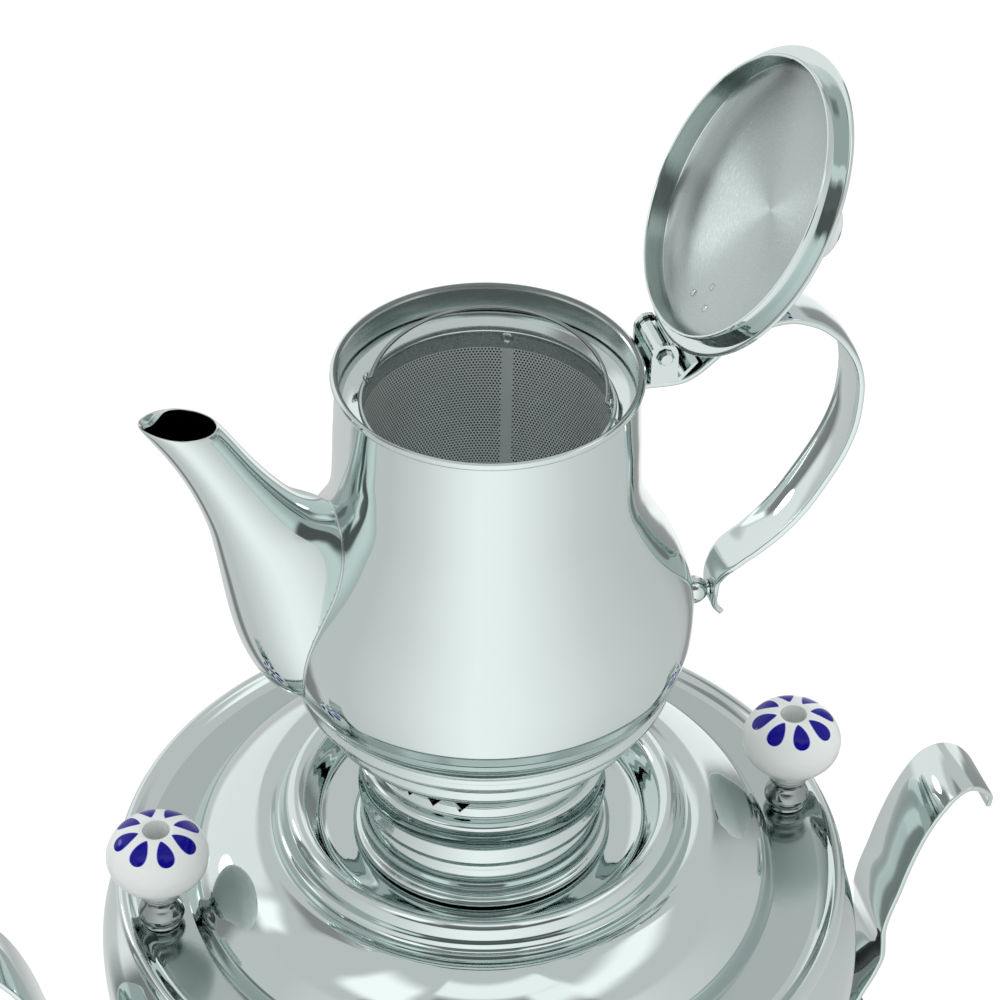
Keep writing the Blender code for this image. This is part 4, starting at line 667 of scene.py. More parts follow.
def bent_strip(name, points, widths, thickness, gap=2.0, crown=0.0, columns=1):
    """Strip steel bent along points of (x, z) in millimetres, of changing width, lying across Y. A crown
    raises its middle on the side to the left of its run."""
    line = flowing(points, gap)
    lengths = [0.0]
    for start, end in zip(line, line[1:]):
        lengths.append(lengths[-1] + math.dist(start, end))
    shares = [length / lengths[-1] for length in lengths]

    def width_at(share):
        for (low, first), (high, last) in zip(widths, widths[1:]):
            if share <= high:
                ease = (share - low) / (high - low)
                return first + (last - first) * ease * ease * (3 - 2 * ease)
        return widths[-1][1]

    bpy.ops.object.select_all(action="DESELECT")
    half = width_at(0.0) / 2000
    bpy.ops.mesh.primitive_plane_add(size=0.001, location=(line[0][0] / 1000, -half, line[0][1] / 1000))
    piece = bpy.context.object
    piece.name = piece.data.name = name
    bpy.ops.object.mode_set(mode="EDIT")
    bpy.ops.mesh.select_all(action="SELECT")
    bpy.ops.mesh.merge(type="CENTER")
    for column in range(columns):
        bpy.ops.mesh.extrude_vertices_move(TRANSFORM_OT_translate={"value": (0.0, 2 * half / columns, 0.0)})
    bpy.ops.mesh.select_all(action="SELECT")
    width = 2 * half
    for start, end, share in zip(line, line[1:], shares[1:]):
        step = ((end[0] - start[0]) / 1000, 0.0, (end[1] - start[1]) / 1000)
        bpy.ops.mesh.extrude_edges_move(TRANSFORM_OT_translate={"value": step})
        new_width = width_at(share) / 1000
        bpy.ops.transform.resize(value=(1.0, new_width / width, 1.0),
                                 center_override=(end[0] / 1000, 0.0, end[1] / 1000))
        width = new_width
    bpy.ops.object.mode_set(mode="OBJECT")
    bpy.ops.object.transform_apply(location=True, rotation=True, scale=True)
    if crown:
        stations = {(round(x, 3), round(z, 3)): number for number, (x, z) in enumerate(line)}
        for vertex in piece.data.vertices:
            number = stations[(round(vertex.co.x * 1000, 3), round(vertex.co.z * 1000, 3))]
            (x0, z0), (x1, z1) = line[max(0, number - 1)], line[min(len(line) - 1, number + 1)]
            share = shares[number]
            fade = max(0.0, min(1.0, share / 0.12, (0.9 - share) / 0.12))
            off_middle = 2000 * vertex.co.y / width_at(share)
            lift_here = crown * fade * (1 - off_middle * off_middle) / 1000 / math.dist((x0, z0), (x1, z1))
            vertex.co.x -= (z1 - z0) * lift_here
            vertex.co.z += (x1 - x0) * lift_here
    sheet = piece.modifiers.new("sheet", "SOLIDIFY")
    sheet.thickness = thickness / 1000
    sheet.offset = 0.0
    bpy.ops.object.modifier_apply(modifier=sheet.name)
    return softened(piece, thickness * 0.32, 3, 50.0)


grip_grey = grained(*plain_finish("grip_grey", (0.085, 0.09, 0.095), 0.45), 1100.0, 0.36, 0.5, 0.00003)
leaf_line = [
    (171.2, 244.58), (170.9, 249.6), (168.4, 253.46), (164.9, 256.6), (160.98, 257.72), (156.2, 255.8),
    (152.0, 250.88), (148.2, 244.0), (145.0, 235.87), (142.2, 226.6), (140.01, 217.49), (137.6, 208.6),
    (136.39, 200.89), (136.9, 194.2), (137.01, 187.92), (134.6, 180.0), (131.49, 173.0), (130.0, 168.92),
    (123.81, 159.68), (120.5, 155.28), (119.68, 151.92), (119.68, 140.92)]
arm_line = [
    (155.15, 113.26), (155.41, 107.96), (153.38, 104.08), (150.36, 102.4), (145.73, 101.32), (137.41, 99.38),
    (128.6, 99.6), (119.81, 101.48), (110.21, 106.92), (106.2, 109.9), (105.42, 113.4), (105.42, 126.32)]
grip_line = flowing([
    (0.0, 0.0), (1.7, -0.2), (3.06, -1.01), (3.57, -3.36), (3.57, -8.41), (3.2, -10.0), (2.89, -12.0),
    (2.89, -19.6), (3.2, -21.0), (5.0, -22.2), (5.27, -23.4), (4.8, -25.0), (4.25, -26.07)], 0.6)
grip_top, grip_length, grip_steps, grooves_apart = -26.07, 53.8, 115, 11.5
for number in range(1, grip_steps + 1):
    share = number / grip_steps
    swell = 4.3 + 4.2 * math.sin(math.pi * min(1.0, share * 0.86) ** 1.55)
    groove = 0.42 * (0.5 - 0.5 * math.cos(math.tau * number / grooves_apart))
    grip_line.append((swell - groove, grip_top - grip_length * number / grip_steps))
grip_line += flowing([
    (4.9, -80.4), (5.1, -81.3), (5.0, -83.0), (4.5, -84.1), (4.5, -84.1), (2.0, -84.1), (2.0, -84.1),
    (2.0, -88.6), (2.0, -88.6), (0.0, -88.6)], 0.6)
for side, turned_round in (("right", 0.0), ("left", math.pi)):
    round_z = Matrix.Rotation(turned_round, 4, "Z")
    for part, line, widths, post_place in (
            ("leaf_", leaf_line,
             [(0.0, 16.0), (0.08, 22.0), (0.2, 26.6), (0.45, 27.0), (0.7, 26.0), (1.0, 24.0)],
             (0.1162, 0.0, 0.1469)),
            ("arm_", arm_line,
             [(0.0, 10.0), (0.15, 14.0), (0.4, 15.0), (1.0, 15.0)], (0.1022, 0.0, 0.1203))):
        strip = bent_strip(part + side, line, widths, 1.8)
        picked(strip, rod(0.005, 0.006, post_place, along_x))
        bpy.ops.object.join()
        moved(strip, round_z)
        seated(strip, "samovar_body", mirror_steel, "polished_steel", "handle_" + part + side)
    grip = spun("grip_" + side, grip_line, 64)
    moved(grip, round_z @ Matrix.Translation((0.1264, 0.0, 0.1844))
          @ Matrix.Rotation(math.radians(-13.1), 4, "Y"))
    seated(grip, "samovar_body", grip_grey, "grip_plastic", "handle_grip_" + side)

# Samovar lid: drawn in one piece, with a beaded rim, a flat fine-ground margin, a polished dome that
# rises to a ring, and a dished seat for the crown. A ring below it centres it in the vessel.
lid_level = 256.8
lid = spun("lid_shell", flowing([
    (33.01, 17.0), (33.01, 17.0), (40.2, 17.05), (44.97, 17.3), (48.3, 18.0), (50.49, 19.39), (52.1, 22.2),
    (53.82, 25.97), (55.5, 29.0), (57.96, 30.2), (60.2, 29.0), (61.41, 26.58), (62.2, 24.0), (63.48, 22.6),
    (65.8, 23.5), (68.66, 24.19), (71.5, 23.7), (74.18, 22.5), (80.5, 18.72), (86.02, 14.01), (90.05, 8.21),
    (91.8, 4.2), (92.69, 0.4), (92.9, 0.0), (92.9, 0.0), (106.4, 0.0), (106.4, 0.0), (107.6, 0.12),
    (109.0, 0.5), (110.4, 1.3), (111.7, 2.25), (112.8, 2.6), (113.8, 2.3), (114.6, 1.3), (114.97, 0.0),
    (114.9, -1.0), (114.27, -1.81), (113.2, -2.4), (112.08, -2.58), (110.8, -2.2), (110.15, -1.3),
    (110.15, -1.3), (109.6, -1.2), (109.6, -1.2), (91.82, -1.2), (91.82, -1.2), (88.96, 7.68), (85.12, 13.2),
    (73.69, 21.39), (68.68, 22.93), (62.87, 20.93), (57.95, 28.47), (54.81, 25.26), (51.35, 18.43), (45.2, 16.11),
    (33.01, 15.8), (33.01, 15.8), (33.01, 17.0)], 0.8), 192, lid_level)
ground_steel = grained(*plain_finish("ground_steel", (0.50, 0.575, 0.562), 0.16, 1.0),
                       2600.0, 0.09, 0.17, 0.000003)


def layered(piece, *materials):
    """Gives a piece several finishes, of which its faces then choose one by number."""
    for material in materials:
        piece.data.materials.append(material)


layered(lid, mirror_steel, ground_steel)
for face in lid.data.polygons:
    out = math.hypot(face.center.x, face.center.y)
    if 0.0932 < out < 0.1063 and face.normal.z > 0.9:
        face.material_index = 1
seated(lid, "samovar_lid", mirror_steel, "polished_steel", "samovar_lid")
lid_ring = spun("centring_ring", [(106.1, -1.5), (106.1, -11.5), (104.9, -11.5), (104.9, -1.5), (106.1, -1.5)],
                192, lid_level)
seated(lid_ring, "samovar_lid", mirror_steel, "polished_steel", "lid_locating_ring")

# Lid knobs: white glazed porcelain heads with eight blue petals painted under the glaze, each held by a
# screw down its middle on a turned and polished ferrule.


glaze_white = (0.86, 0.90, 0.885)


def glazed(name):
    """White glazed porcelain."""
    material, shader = plain_finish(name, glaze_white, 0.08)
    shader.inputs["Specular IOR Level"].default_value = 0.2
    shader.inputs["Coat Weight"].default_value = 0.05
    shader.inputs["Coat Roughness"].default_value = 0.04
    shader.inputs["Subsurface Weight"].default_value = 0.08
    shader.inputs["Subsurface Radius"].default_value = (0.002, 0.002, 0.0018)
    return material, shader


def petal_group():
    """Eight drops, wide end outwards. Radius and bearing go in, in metres and radians."""
    group, inputs, outputs = node_group("painted_petals", ["Radius", "Bearing", "Size"], ["Paint", "Edge"])
    sum_of = math_in(group)
    petals, start, end, widest = 8, 0.35, 0.84, 0.262
    share = sum_of("DIVIDE", inputs.outputs["Radius"], inputs.outputs["Size"])
    turns = sum_of("DIVIDE", inputs.outputs["Bearing"], math.tau / petals)
    off = sum_of("SUBTRACT", sum_of("FRACT", turns), 0.5)
    angle = sum_of("MULTIPLY", off, math.tau / petals)
    along = sum_of("MULTIPLY", share, sum_of("COSINE", angle))
    across = sum_of("ABSOLUTE", sum_of("MULTIPLY", share, sum_of("SINE", angle)))
    whole = sum_of("DIVIDE", sum_of("SUBTRACT", along, start), end - start)
    length = sum_of("MINIMUM", sum_of("MAXIMUM", whole, 0.0), 1.0)
    beyond = sum_of("ABSOLUTE", sum_of("SUBTRACT", whole, length))
    rising = sum_of("POWER", length, 0.74)
    falling = sum_of("SQRT", sum_of("SUBTRACT", 1.0, sum_of("POWER", length, 3.6)))
    half = sum_of("MULTIPLY", sum_of("MULTIPLY", rising, falling), widest)
    inside = sum_of("SUBTRACT", sum_of("SUBTRACT", half, across), beyond)
    for socket, low, high in (("Paint", 0.0, 0.012), ("Edge", -0.016, 0.004)):
        ramp = ramp_in(group, inside, from_min=low, from_max=high)
        ramp.interpolation_type = "SMOOTHSTEP"
        group.links.new(ramp.outputs[0], outputs.inputs[socket])
    return group


painted_petals = petal_group()


def painted(material, shader, size):
    """Paints the petals on porcelain: radius and bearing come from the piece's own map."""
    tree, wires = material.node_tree.nodes, material.node_tree.links
    chart = tree.new("ShaderNodeUVMap")
    chart.uv_map = "knob_top"
    parts_of = tree.new("ShaderNodeSeparateXYZ")
    wires.new(chart.outputs[0], parts_of.inputs[0])
    reach = tree.new("ShaderNodeVectorMath")
    reach.operation = "LENGTH"
    wires.new(chart.outputs[0], reach.inputs[0])
    petals = tree.new("ShaderNodeGroup")
    petals.node_tree = painted_petals
    petals.inputs["Size"].default_value = size
    wires.new(reach.outputs["Value"], petals.inputs["Radius"])
    bearing_here = math_in(material.node_tree)("ARCTAN2", parts_of.outputs["Y"], parts_of.outputs["X"])
    wires.new(bearing_here, petals.inputs["Bearing"])
    pale_edge, cobalt = (0.42, 0.44, 0.80), (0.004, 0.001, 0.27)
    halo = mixed_in(material.node_tree, petals.outputs["Edge"], glaze_white, pale_edge)
    wires.new(mixed_in(material.node_tree, petals.outputs["Paint"], halo, cobalt), shader.inputs["Base Color"])
    return material


def charted(piece, widest):
    """Gives a knob, still upright on the axis, a flat map of its top for the paint. Below the height of its
    widest place the map is spread past the petals."""
    chart = piece.data.uv_layers.new(name="knob_top")
    for corner in piece.data.loops:
        spot = piece.data.vertices[corner.vertex_index].co
        spread = 1.0 if spot.z > widest else 10.0
        chart.data[corner.index].uv = (spot.x * spread, spot.y * spread)


petal_porcelain = painted(*glazed("petal_porcelain"), 0.0157)
knob_outline = flowing([
    (4.21, 24.9), (5.2, 25.15), (6.6, 25.0), (8.4, 24.5), (10.6, 23.4), (12.4, 21.95), (13.9, 20.1),
    (14.99, 17.99), (15.6, 16.0), (15.7, 14.01), (15.4, 12.1), (14.6, 10.2), (11.7, 6.4), (8.9, 3.0),
    (7.5, 1.2), (6.5, 0.0), (6.5, 0.0), (2.05, 0.0), (2.05, 0.0), (2.05, 12.2), (2.05, 12.2), (4.21, 12.2),
    (4.21, 12.2), (4.21, 24.3), (4.21, 24.9)], 0.5)
ferrule_outline = flowing([
    (2.05, 12.0), (2.05, 12.0), (6.0, 12.0), (6.35, 11.7), (6.3, 11.0), (5.6, 10.3), (4.8, 9.5), (4.6, 8.6),
    (4.9, 7.7), (5.8, 6.5), (6.7, 5.2), (7.2, 3.8), (7.1, 2.6), (6.4, 1.5), (5.9, 0.8), (6.2, 0.3), (6.2, 0.0),
    (6.2, 0.0), (2.05, 0.0), (2.05, 0.0), (2.05, 12.0)], 0.4)
# Polished steel made darker than the mirror steel: a painted dark reflection of the dark surroundings that the
# knob ferrules and the bail wire mirror.
darkened_polish = polished("darkened_polish", (0.30, 0.335, 0.33), 0.06)
for side, across, turned_by in (("right", 0.1023, 16.5), ("left", -0.1023, 26.5)):
    knob_seat = Matrix.Translation((across, 0.0, 0.2571))
    head = spun("knob_" + side, knob_outline, 96, 12.3)
    charted(head, 0.0262)
    moved(head, knob_seat @ Matrix.Rotation(math.radians(turned_by), 4, "Z"))
    seated(head, "samovar_lid", petal_porcelain, "porcelain", "lid_knob_" + side)
    collar = spun("ferrule_" + side, ferrule_outline, 96)
    moved(collar, knob_seat)
    seated(collar, "samovar_lid", darkened_polish, "polished_steel", "lid_knob_ferrule_" + side)
    finished(plated_brass, "lid_knob_nut_" + side, "lid_knob_screw_" + side)

# Crown: a turned neck that lets steam out through three groups of diamond vents, and a gallery ring
# welded on top, which the teapot's foot drops into.
neck = spun("crown_turned_neck", flowing([
    (28.0, 45.0), (28.0, 45.0), (34.9, 45.0), (34.9, 45.0), (34.2, 42.0), (34.1, 38.38), (34.2, 35.0),
    (34.9, 32.9), (36.8, 32.2), (38.2, 31.2), (38.4, 30.0), (37.6, 28.4), (36.7, 26.4), (36.6, 23.98),
    (36.9, 21.0), (37.7, 18.6), (38.3, 17.1), (38.2, 15.9), (36.9, 15.4), (35.2, 14.9), (35.3, 13.4),
    (36.6, 11.4), (37.6, 8.9), (37.7, 6.6), (37.2, 4.4), (37.6, 2.9), (39.2, 2.2), (40.0, 1.2),
    (39.6, 0.3), (38.4, 0.0), (38.4, 0.0), (31.91, 0.0), (31.91, 0.0), (31.91, -5.0), (31.91, -5.0),
    (30.71, -5.0), (30.71, -5.0), (30.71, 1.2), (38.0, 1.2), (35.95, 2.61), (36.0, 7.93), (33.4, 15.94),
    (36.6, 16.73), (35.3, 24.02), (36.9, 29.79), (33.3, 31.66), (33.2, 43.8), (33.2, 43.8), (28.0, 43.8),
    (28.0, 43.8), (28.0, 45.0)], 0.5), 192, 274.4)
for group_number in range(3):
    for vent in (-1, 0, 1):
        diamond = rod(0.0033, 0.012, (0.0, 0.0, 0.0), along_x, 4)
        moved(diamond, Matrix.Rotation(math.radians(-131.2 + 120 * group_number + 14.2 * vent), 4, "Z")
              @ Matrix.Translation((0.034, 0.0, 0.3123)) @ Matrix.Diagonal((1.0, 1.0, 8.0 / 6.6, 1.0)))
        cut_away(neck, diamond)
smoothed(neck)
seated(neck, "crown", mirror_steel, "polished_steel", "crown_neck")
gallery = spun("gallery_ring", flowing([
    (51.4, 16.2), (51.3, 14.6), (50.4, 12.8), (50.22, 11.2), (50.5, 9.6), (50.3, 8.0), (49.19, 6.59),
    (46.2, 4.9), (41.99, 3.21), (38.6, 1.5), (35.0, 0.0), (35.0, 0.0), (28.0, 0.0), (28.0, 0.0), (28.0, 1.4),
    (28.0, 1.4), (34.7, 1.4), (41.0, 4.2), (48.12, 7.64), (49.3, 10.4), (50.3, 16.0), (50.8, 16.5),
    (51.4, 16.2)], 0.5), 160, 319.7)
seated(gallery, "crown", mirror_steel, "polished_steel", "crown_gallery")

# Teapot: drawn in one piece from stainless sheet, with a rolled mouth and a soldered foot. Inside the
# mouth a ledge carries the infuser. The spout is pressed in two halves, welded and ground flush.
pot_level = 329.2
pot = spun("pot_shell", flowing([
    (42.2, 116.1), (42.94, 117.0), (43.5, 117.25), (44.25, 116.95), (44.51, 115.9), (44.1, 115.1),
    (43.4, 114.7), (43.4, 114.7), (43.4, 112.84), (43.5, 107.6), (43.7, 102.0), (44.02, 96.07),
    (44.3, 88.0), (44.7, 80.12), (45.4, 75.2), (46.5, 71.08), (48.3, 66.2), (50.59, 61.58),
    (53.8, 56.4), (56.98, 51.14), (59.5, 45.6), (61.19, 40.12), (61.9, 35.4), (62.0, 31.08),
    (61.8, 27.4), (61.19, 24.05), (60.3, 20.6), (59.21, 17.59), (57.8, 14.9), (56.6, 13.3), (56.2, 12.5),
    (56.3, 11.8), (56.9, 11.0), (57.0, 10.0), (56.7, 8.9), (55.6, 7.9), (53.0, 7.2), (47.9, 7.0),
    (47.9, 7.0), (47.72, 6.8), (47.72, 1.4), (47.3, 0.4), (46.32, 0.0), (46.32, 0.0), (0.0, 0.0),
    (0.0, 0.0), (0.0, 1.0), (0.0, 1.0), (45.9, 1.0), (46.72, 1.81), (46.72, 7.95), (54.82, 8.36), (55.6, 10.23),
    (55.2, 12.7), (58.29, 18.0), (60.21, 24.25), (60.99, 31.1), (60.21, 39.89), (56.08, 50.7),
    (49.6, 61.4), (45.4, 70.78), (43.6, 80.01), (42.6, 96.0), (42.4, 103.2), (42.4, 103.2), (40.4, 105.2),
    (40.4, 105.2), (40.4, 107.2), (40.4, 107.2), (42.4, 107.2), (42.4, 107.2), (42.2, 116.1)], 0.8),
    192, pot_level)
cut_away(pot, rod(0.0095, 0.045, (-0.044, 0.0, 0.37377), along_x))
smoothed(pot)
satin_steel = grained(*plain_finish("satin_steel", (0.53, 0.59, 0.58), 0.24, 1.0), 1500.0, 0.18, 0.3, 0.000004)
# The pot's inside below the mouth is the same steel, painted dark here as painted shade for the shadow inside the
# pot.
pot_inside_painted_shade, _ = plain_finish("pot_inside_painted_shade", (0.20, 0.23, 0.225), 0.45, 1.0)
layered(pot, mirror_steel, satin_steel, pot_inside_painted_shade)
# Faces that look inwards below the mouth take the painted shade; the lining in the mouth stays satin steel.
for face in pot.data.polygons:
    if math.hypot(face.center.x, face.center.y) < 0.0427 and face.center.z > 0.41:
        face.material_index = 1
    elif face.center.z > 0.338 and face.normal.x * face.center.x + face.normal.y * face.center.y < 0:
        face.material_index = 2
seated(pot, "teapot", mirror_steel, "polished_steel", "teapot_body")

# Each section: the front's distance from the axis and height, the back's, and half the width.
spout_sections = [
    (58.6, 16.07, 39.8, 16.07, 8.0), (65.9, 20.18, 35.9, 20.18, 15.9), (70.7, 27.1, 33.9, 27.1, 18.9),
    (75.4, 41.06, 33.9, 41.06, 19.5), (78.0, 60.06, 35.9, 62.17, 18.3), (79.6, 71.55, 43.8, 76.25, 14.9),
    (80.9, 78.83, 52.8, 78.83, 12.35), (84.5, 90.09, 60.8, 87.39, 9.96), (88.9, 100.06, 68.7, 97.95, 8.57),
    (94.1, 109.09, 74.2, 106.98, 7.97), (99.6, 117.3, 78.3, 112.84, 7.57)]
spout_top, ring_steps = 117.3, 20
loft = bmesh.new()
rings = []
for reach, tall, inner_reach, inner_tall, half_width in spout_sections:
    outer = Vector((-reach, tall))
    inner = Vector((-inner_reach, inner_tall))
    middle, half = (outer + inner) / 2, (outer - inner) / 2
    ring = []
    for step in range(ring_steps):
        angle = math.tau * step / ring_steps
        pinch = 1.0 - 0.3 * max(math.cos(angle), 0.0) ** 2 * (tall / spout_top) ** 3
        spot = middle + half * math.cos(angle)
        ring.append(loft.verts.new((spot.x / 1000, half_width * math.sin(angle) * pinch / 1000,
                                    (spot.y + pot_level) / 1000)))
    rings.append(ring)
for low, high in zip(rings, rings[1:]):
    for step in range(ring_steps):
        after = (step + 1) % ring_steps
        loft.faces.new((low[step], low[after], high[after], high[step]))
bmesh.ops.recalc_face_normals(loft, faces=loft.faces[:])
spout_mesh = bpy.data.meshes.new("spout_shell")
loft.to_mesh(spout_mesh)
loft.free()
spout = bpy.data.objects.new("spout_shell", spout_mesh)
scene.collection.objects.link(spout)
picked(spout)
wall = spout.modifiers.new("wall", "SOLIDIFY")
wall.thickness = 0.001
wall.offset = -1.0
smooth = spout.modifiers.new("smooth", "SUBSURF")
smooth.levels = smooth.render_levels = 3
bpy.ops.object.modifier_apply(modifier=wall.name)
bpy.ops.object.modifier_apply(modifier=smooth.name)
bpy.ops.object.shade_smooth()
core = spun("pot_core", flowing([
    (0.0, 117.3), (0.0, 117.3), (43.0, 117.3), (43.0, 117.3), (43.0, 107.6), (43.2, 102.0), (43.52, 96.07),
    (43.8, 88.0), (44.2, 80.12), (44.9, 75.2), (46.0, 71.08), (47.8, 66.2), (50.09, 61.58), (53.3, 56.4),
    (56.48, 51.14), (59.0, 45.6), (60.69, 40.12), (61.4, 35.4), (61.5, 31.08), (61.3, 27.4), (60.69, 24.05),
    (59.8, 20.6), (58.71, 17.59), (57.3, 14.9), (56.1, 13.3), (56.1, 13.3), (0.0, 8.0), (0.0, 8.0),
    (0.0, 117.3)], 0.8), 192, pot_level)
cut_away(spout, core)
seated(spout, "teapot", mirror_steel, "polished_steel", "teapot_spout")

# A thin bead of weld runs where the spout's outside meets the pot's.
pot_skin = BVHTree.FromPolygons([point.co for point in pot.data.vertices],
                                [face.vertices for face in pot.data.polygons])
crossings = []
for edge in spout.data.edges:
    first, second = (spout.data.vertices[index].co for index in edge.vertices)
    outer, inner = (first, second) if first.x < second.x else (second, first)
    hit = pot_skin.ray_cast(outer, inner - outer, (inner - outer).length)[0]
    if hit is not None:
        crossings.append(hit)
middle = sum(crossings, Vector()) / len(crossings)
bead_steps, same_wall = 90, 0.0005
bead_points = []
for turn in range(bead_steps):
    close_by = [spot for spot in crossings
                if int((math.atan2(spot.z - middle.z, spot.y) + math.pi) / math.tau * bead_steps) == turn]
    if close_by:
        reach = max(math.hypot(spot.z - middle.z, spot.y) for spot in close_by)
        outermost = [spot for spot in close_by if math.hypot(spot.z - middle.z, spot.y) > reach - same_wall]
        bead_points.append(sum(outermost, Vector()) / len(outermost))
bpy.ops.object.select_all(action="DESELECT")
bpy.ops.curve.primitive_nurbs_path_add()
weld = bpy.context.object
weld.name = weld.data.name = "spout_weld"
weld.data.splines.clear()
run = weld.data.splines.new("NURBS")
run.points.add(len(bead_points) - 1)
for point, spot in zip(run.points, bead_points):
    point.co = (*spot, 1.0)
run.order_u = 4
run.use_cyclic_u = True
weld.data.resolution_u = 4
weld.data.bevel_depth = 0.0005
weld.data.bevel_resolution = 3
bpy.ops.object.convert(target="MESH")
weld = bpy.context.object
bpy.ops.object.shade_smooth()
seated(moved(weld, Matrix.Identity(4)), "teapot", satin_steel, "polished_steel")

# Teapot handle: a bent strap of polished strip, welded to the neck above and held off the belly below
# by a turned ball and a rivet. Its lower end curls outwards.
strap = bent_strip("pot_strap", [
    (43.8, 437.59), (54.87, 437.59), (59.0, 439.4), (63.37, 442.86), (67.8, 446.8), (72.97, 449.9),
    (78.4, 452.2), (84.01, 453.3), (88.7, 452.9), (92.96, 451.31), (96.8, 449.2), (100.02, 446.5),
    (103.2, 443.2), (105.76, 439.46), (107.9, 435.5), (109.41, 431.25), (110.2, 427.0), (110.4, 422.69),
    (110.2, 417.4), (109.63, 412.25), (108.3, 407.0), (106.43, 401.93), (104.0, 396.9), (101.24, 391.96),
    (98.3, 387.1), (95.05, 382.34), (91.6, 378.1), (87.99, 374.24), (84.9, 371.5), (81.59, 368.85),
    (78.6, 366.9), (75.96, 364.74), (74.0, 362.8), (72.64, 360.52), (71.6, 358.2), (71.21, 355.71),
    (71.21, 353.0), (71.21, 350.31), (72.2, 347.0), (74.63, 343.86)],
    [(0.0, 15.0), (0.12, 17.0), (0.3, 18.0), (0.7, 17.4), (0.86, 15.0), (0.93, 10.0), (1.0, 5.0)],
    1.8, 1.5, 1.5, 10)
seated(strap, "teapot", mirror_steel, "polished_steel", "teapot_handle")
ball = spun("strap_ball", flowing([
    (1.65, 70.01), (1.65, 70.01), (2.5, 70.01), (2.5, 70.01), (2.4, 69.4), (3.1, 68.7), (3.9, 67.4),
    (4.29, 65.71), (3.9, 64.0), (3.1, 62.7), (2.4, 62.1), (2.6, 61.5), (2.6, 61.5), (0.0, 61.5), (0.0, 61.5),
    (0.0, 65.71), (0.0, 65.71), (1.65, 65.71), (1.65, 65.71), (1.65, 70.01)], 0.4), 64)
across_x = Matrix.Translation((0.0, 0.0, 0.35302)) @ Matrix.Rotation(math.pi / 2, 4, "Y")
moved(ball, across_x)
seated(ball, "teapot", mirror_steel, "polished_steel", "handle_spacer")
rivet = spun("strap_rivet", flowing([
    (0.0, 73.61), (1.0, 73.5), (1.9, 73.15), (2.5, 72.7), (2.7, 72.41), (2.7, 72.41), (1.4, 72.41),
    (1.4, 72.41), (1.4, 66.01), (1.4, 66.01), (0.0, 66.01), (0.0, 66.01), (0.0, 73.61)], 0.4), 48)
moved(rivet, across_x)
seated(rivet, "teapot", mirror_steel, "polished_steel", "handle_rivet")
finished(mirror_steel, "hinge_bracket", "hinge_pin", "lid_hinge_leaf")

# Teapot lid: a shallow spun dome with a flange and a skirt, left brushed inside. It hangs open on its
# hinge, with its porcelain knob turned away.


def brushed_group():
    """Rings left by the spinning tool: roughness and relief that follow the radius."""
    group, inputs, outputs = node_group("spun_rings", ["Radius", "Bearing"], ["Roughness", "Height"])
    tree, wires = group.nodes, group.links
    both = tree.new("ShaderNodeCombineXYZ")
    wires.new(inputs.outputs["Radius"], both.inputs["X"])
    wires.new(math_in(group)("MULTIPLY", inputs.outputs["Bearing"], 0.0015), both.inputs["Y"])
    rings_noise = tree.new("ShaderNodeTexNoise")
    rings_noise.inputs["Scale"].default_value = 5200.0
    rings_noise.inputs["Detail"].default_value = 3.0
    wires.new(both.outputs[0], rings_noise.inputs["Vector"])
    spread = ramp_in(group, rings_noise.outputs["Fac"], to_min=0.2, to_max=0.38)
    wires.new(spread.outputs[0], outputs.inputs["Roughness"])
    wires.new(rings_noise.outputs["Fac"], outputs.inputs["Height"])
    return group


spun_rings = brushed_group()


def brushed(name, colour, relief):
    """Brushed steel whose rings run round the piece: its map gives radius and bearing."""
    material, shader = plain_finish(name, colour, 0.3, 1.0)
    shader.inputs["Anisotropic"].default_value = 0.85
    shader.inputs["Anisotropic Rotation"].default_value = 0.25
    tree, wires = material.node_tree.nodes, material.node_tree.links
    chart = tree.new("ShaderNodeUVMap")
    chart.uv_map = "round_and_out"
    parts_of = tree.new("ShaderNodeSeparateXYZ")
    wires.new(chart.outputs[0], parts_of.inputs[0])
    rings_here = marked(material, shader, spun_rings, relief)
    wires.new(parts_of.outputs["X"], rings_here.inputs["Bearing"])
    wires.new(parts_of.outputs["Y"], rings_here.inputs["Radius"])
    grain_way = tree.new("ShaderNodeTangent")
    grain_way.direction_type = "UV_MAP"
    grain_way.uv_map = "round_and_out"
    wires.new(grain_way.outputs[0], shader.inputs["Tangent"])
    return material


def mapped_round(piece):
    """Maps a piece, still upright on the axis, by bearing and by radius plus height."""
    chart = piece.data.uv_layers.new(name="round_and_out")
    for face in piece.data.polygons:
        middle_bearing = math.atan2(face.center.y, face.center.x)
        for corner in face.loop_indices:
            spot = piece.data.vertices[piece.data.loops[corner].vertex_index].co
            out = math.hypot(spot.x, spot.y)
            bearing_here = math.atan2(spot.y, spot.x) if out > 1e-6 else middle_bearing
            if bearing_here - middle_bearing > math.pi:
                bearing_here -= math.tau
            elif bearing_here - middle_bearing < -math.pi:
                bearing_here += math.tau
            chart.data[corner].uv = (bearing_here, out + spot.z)


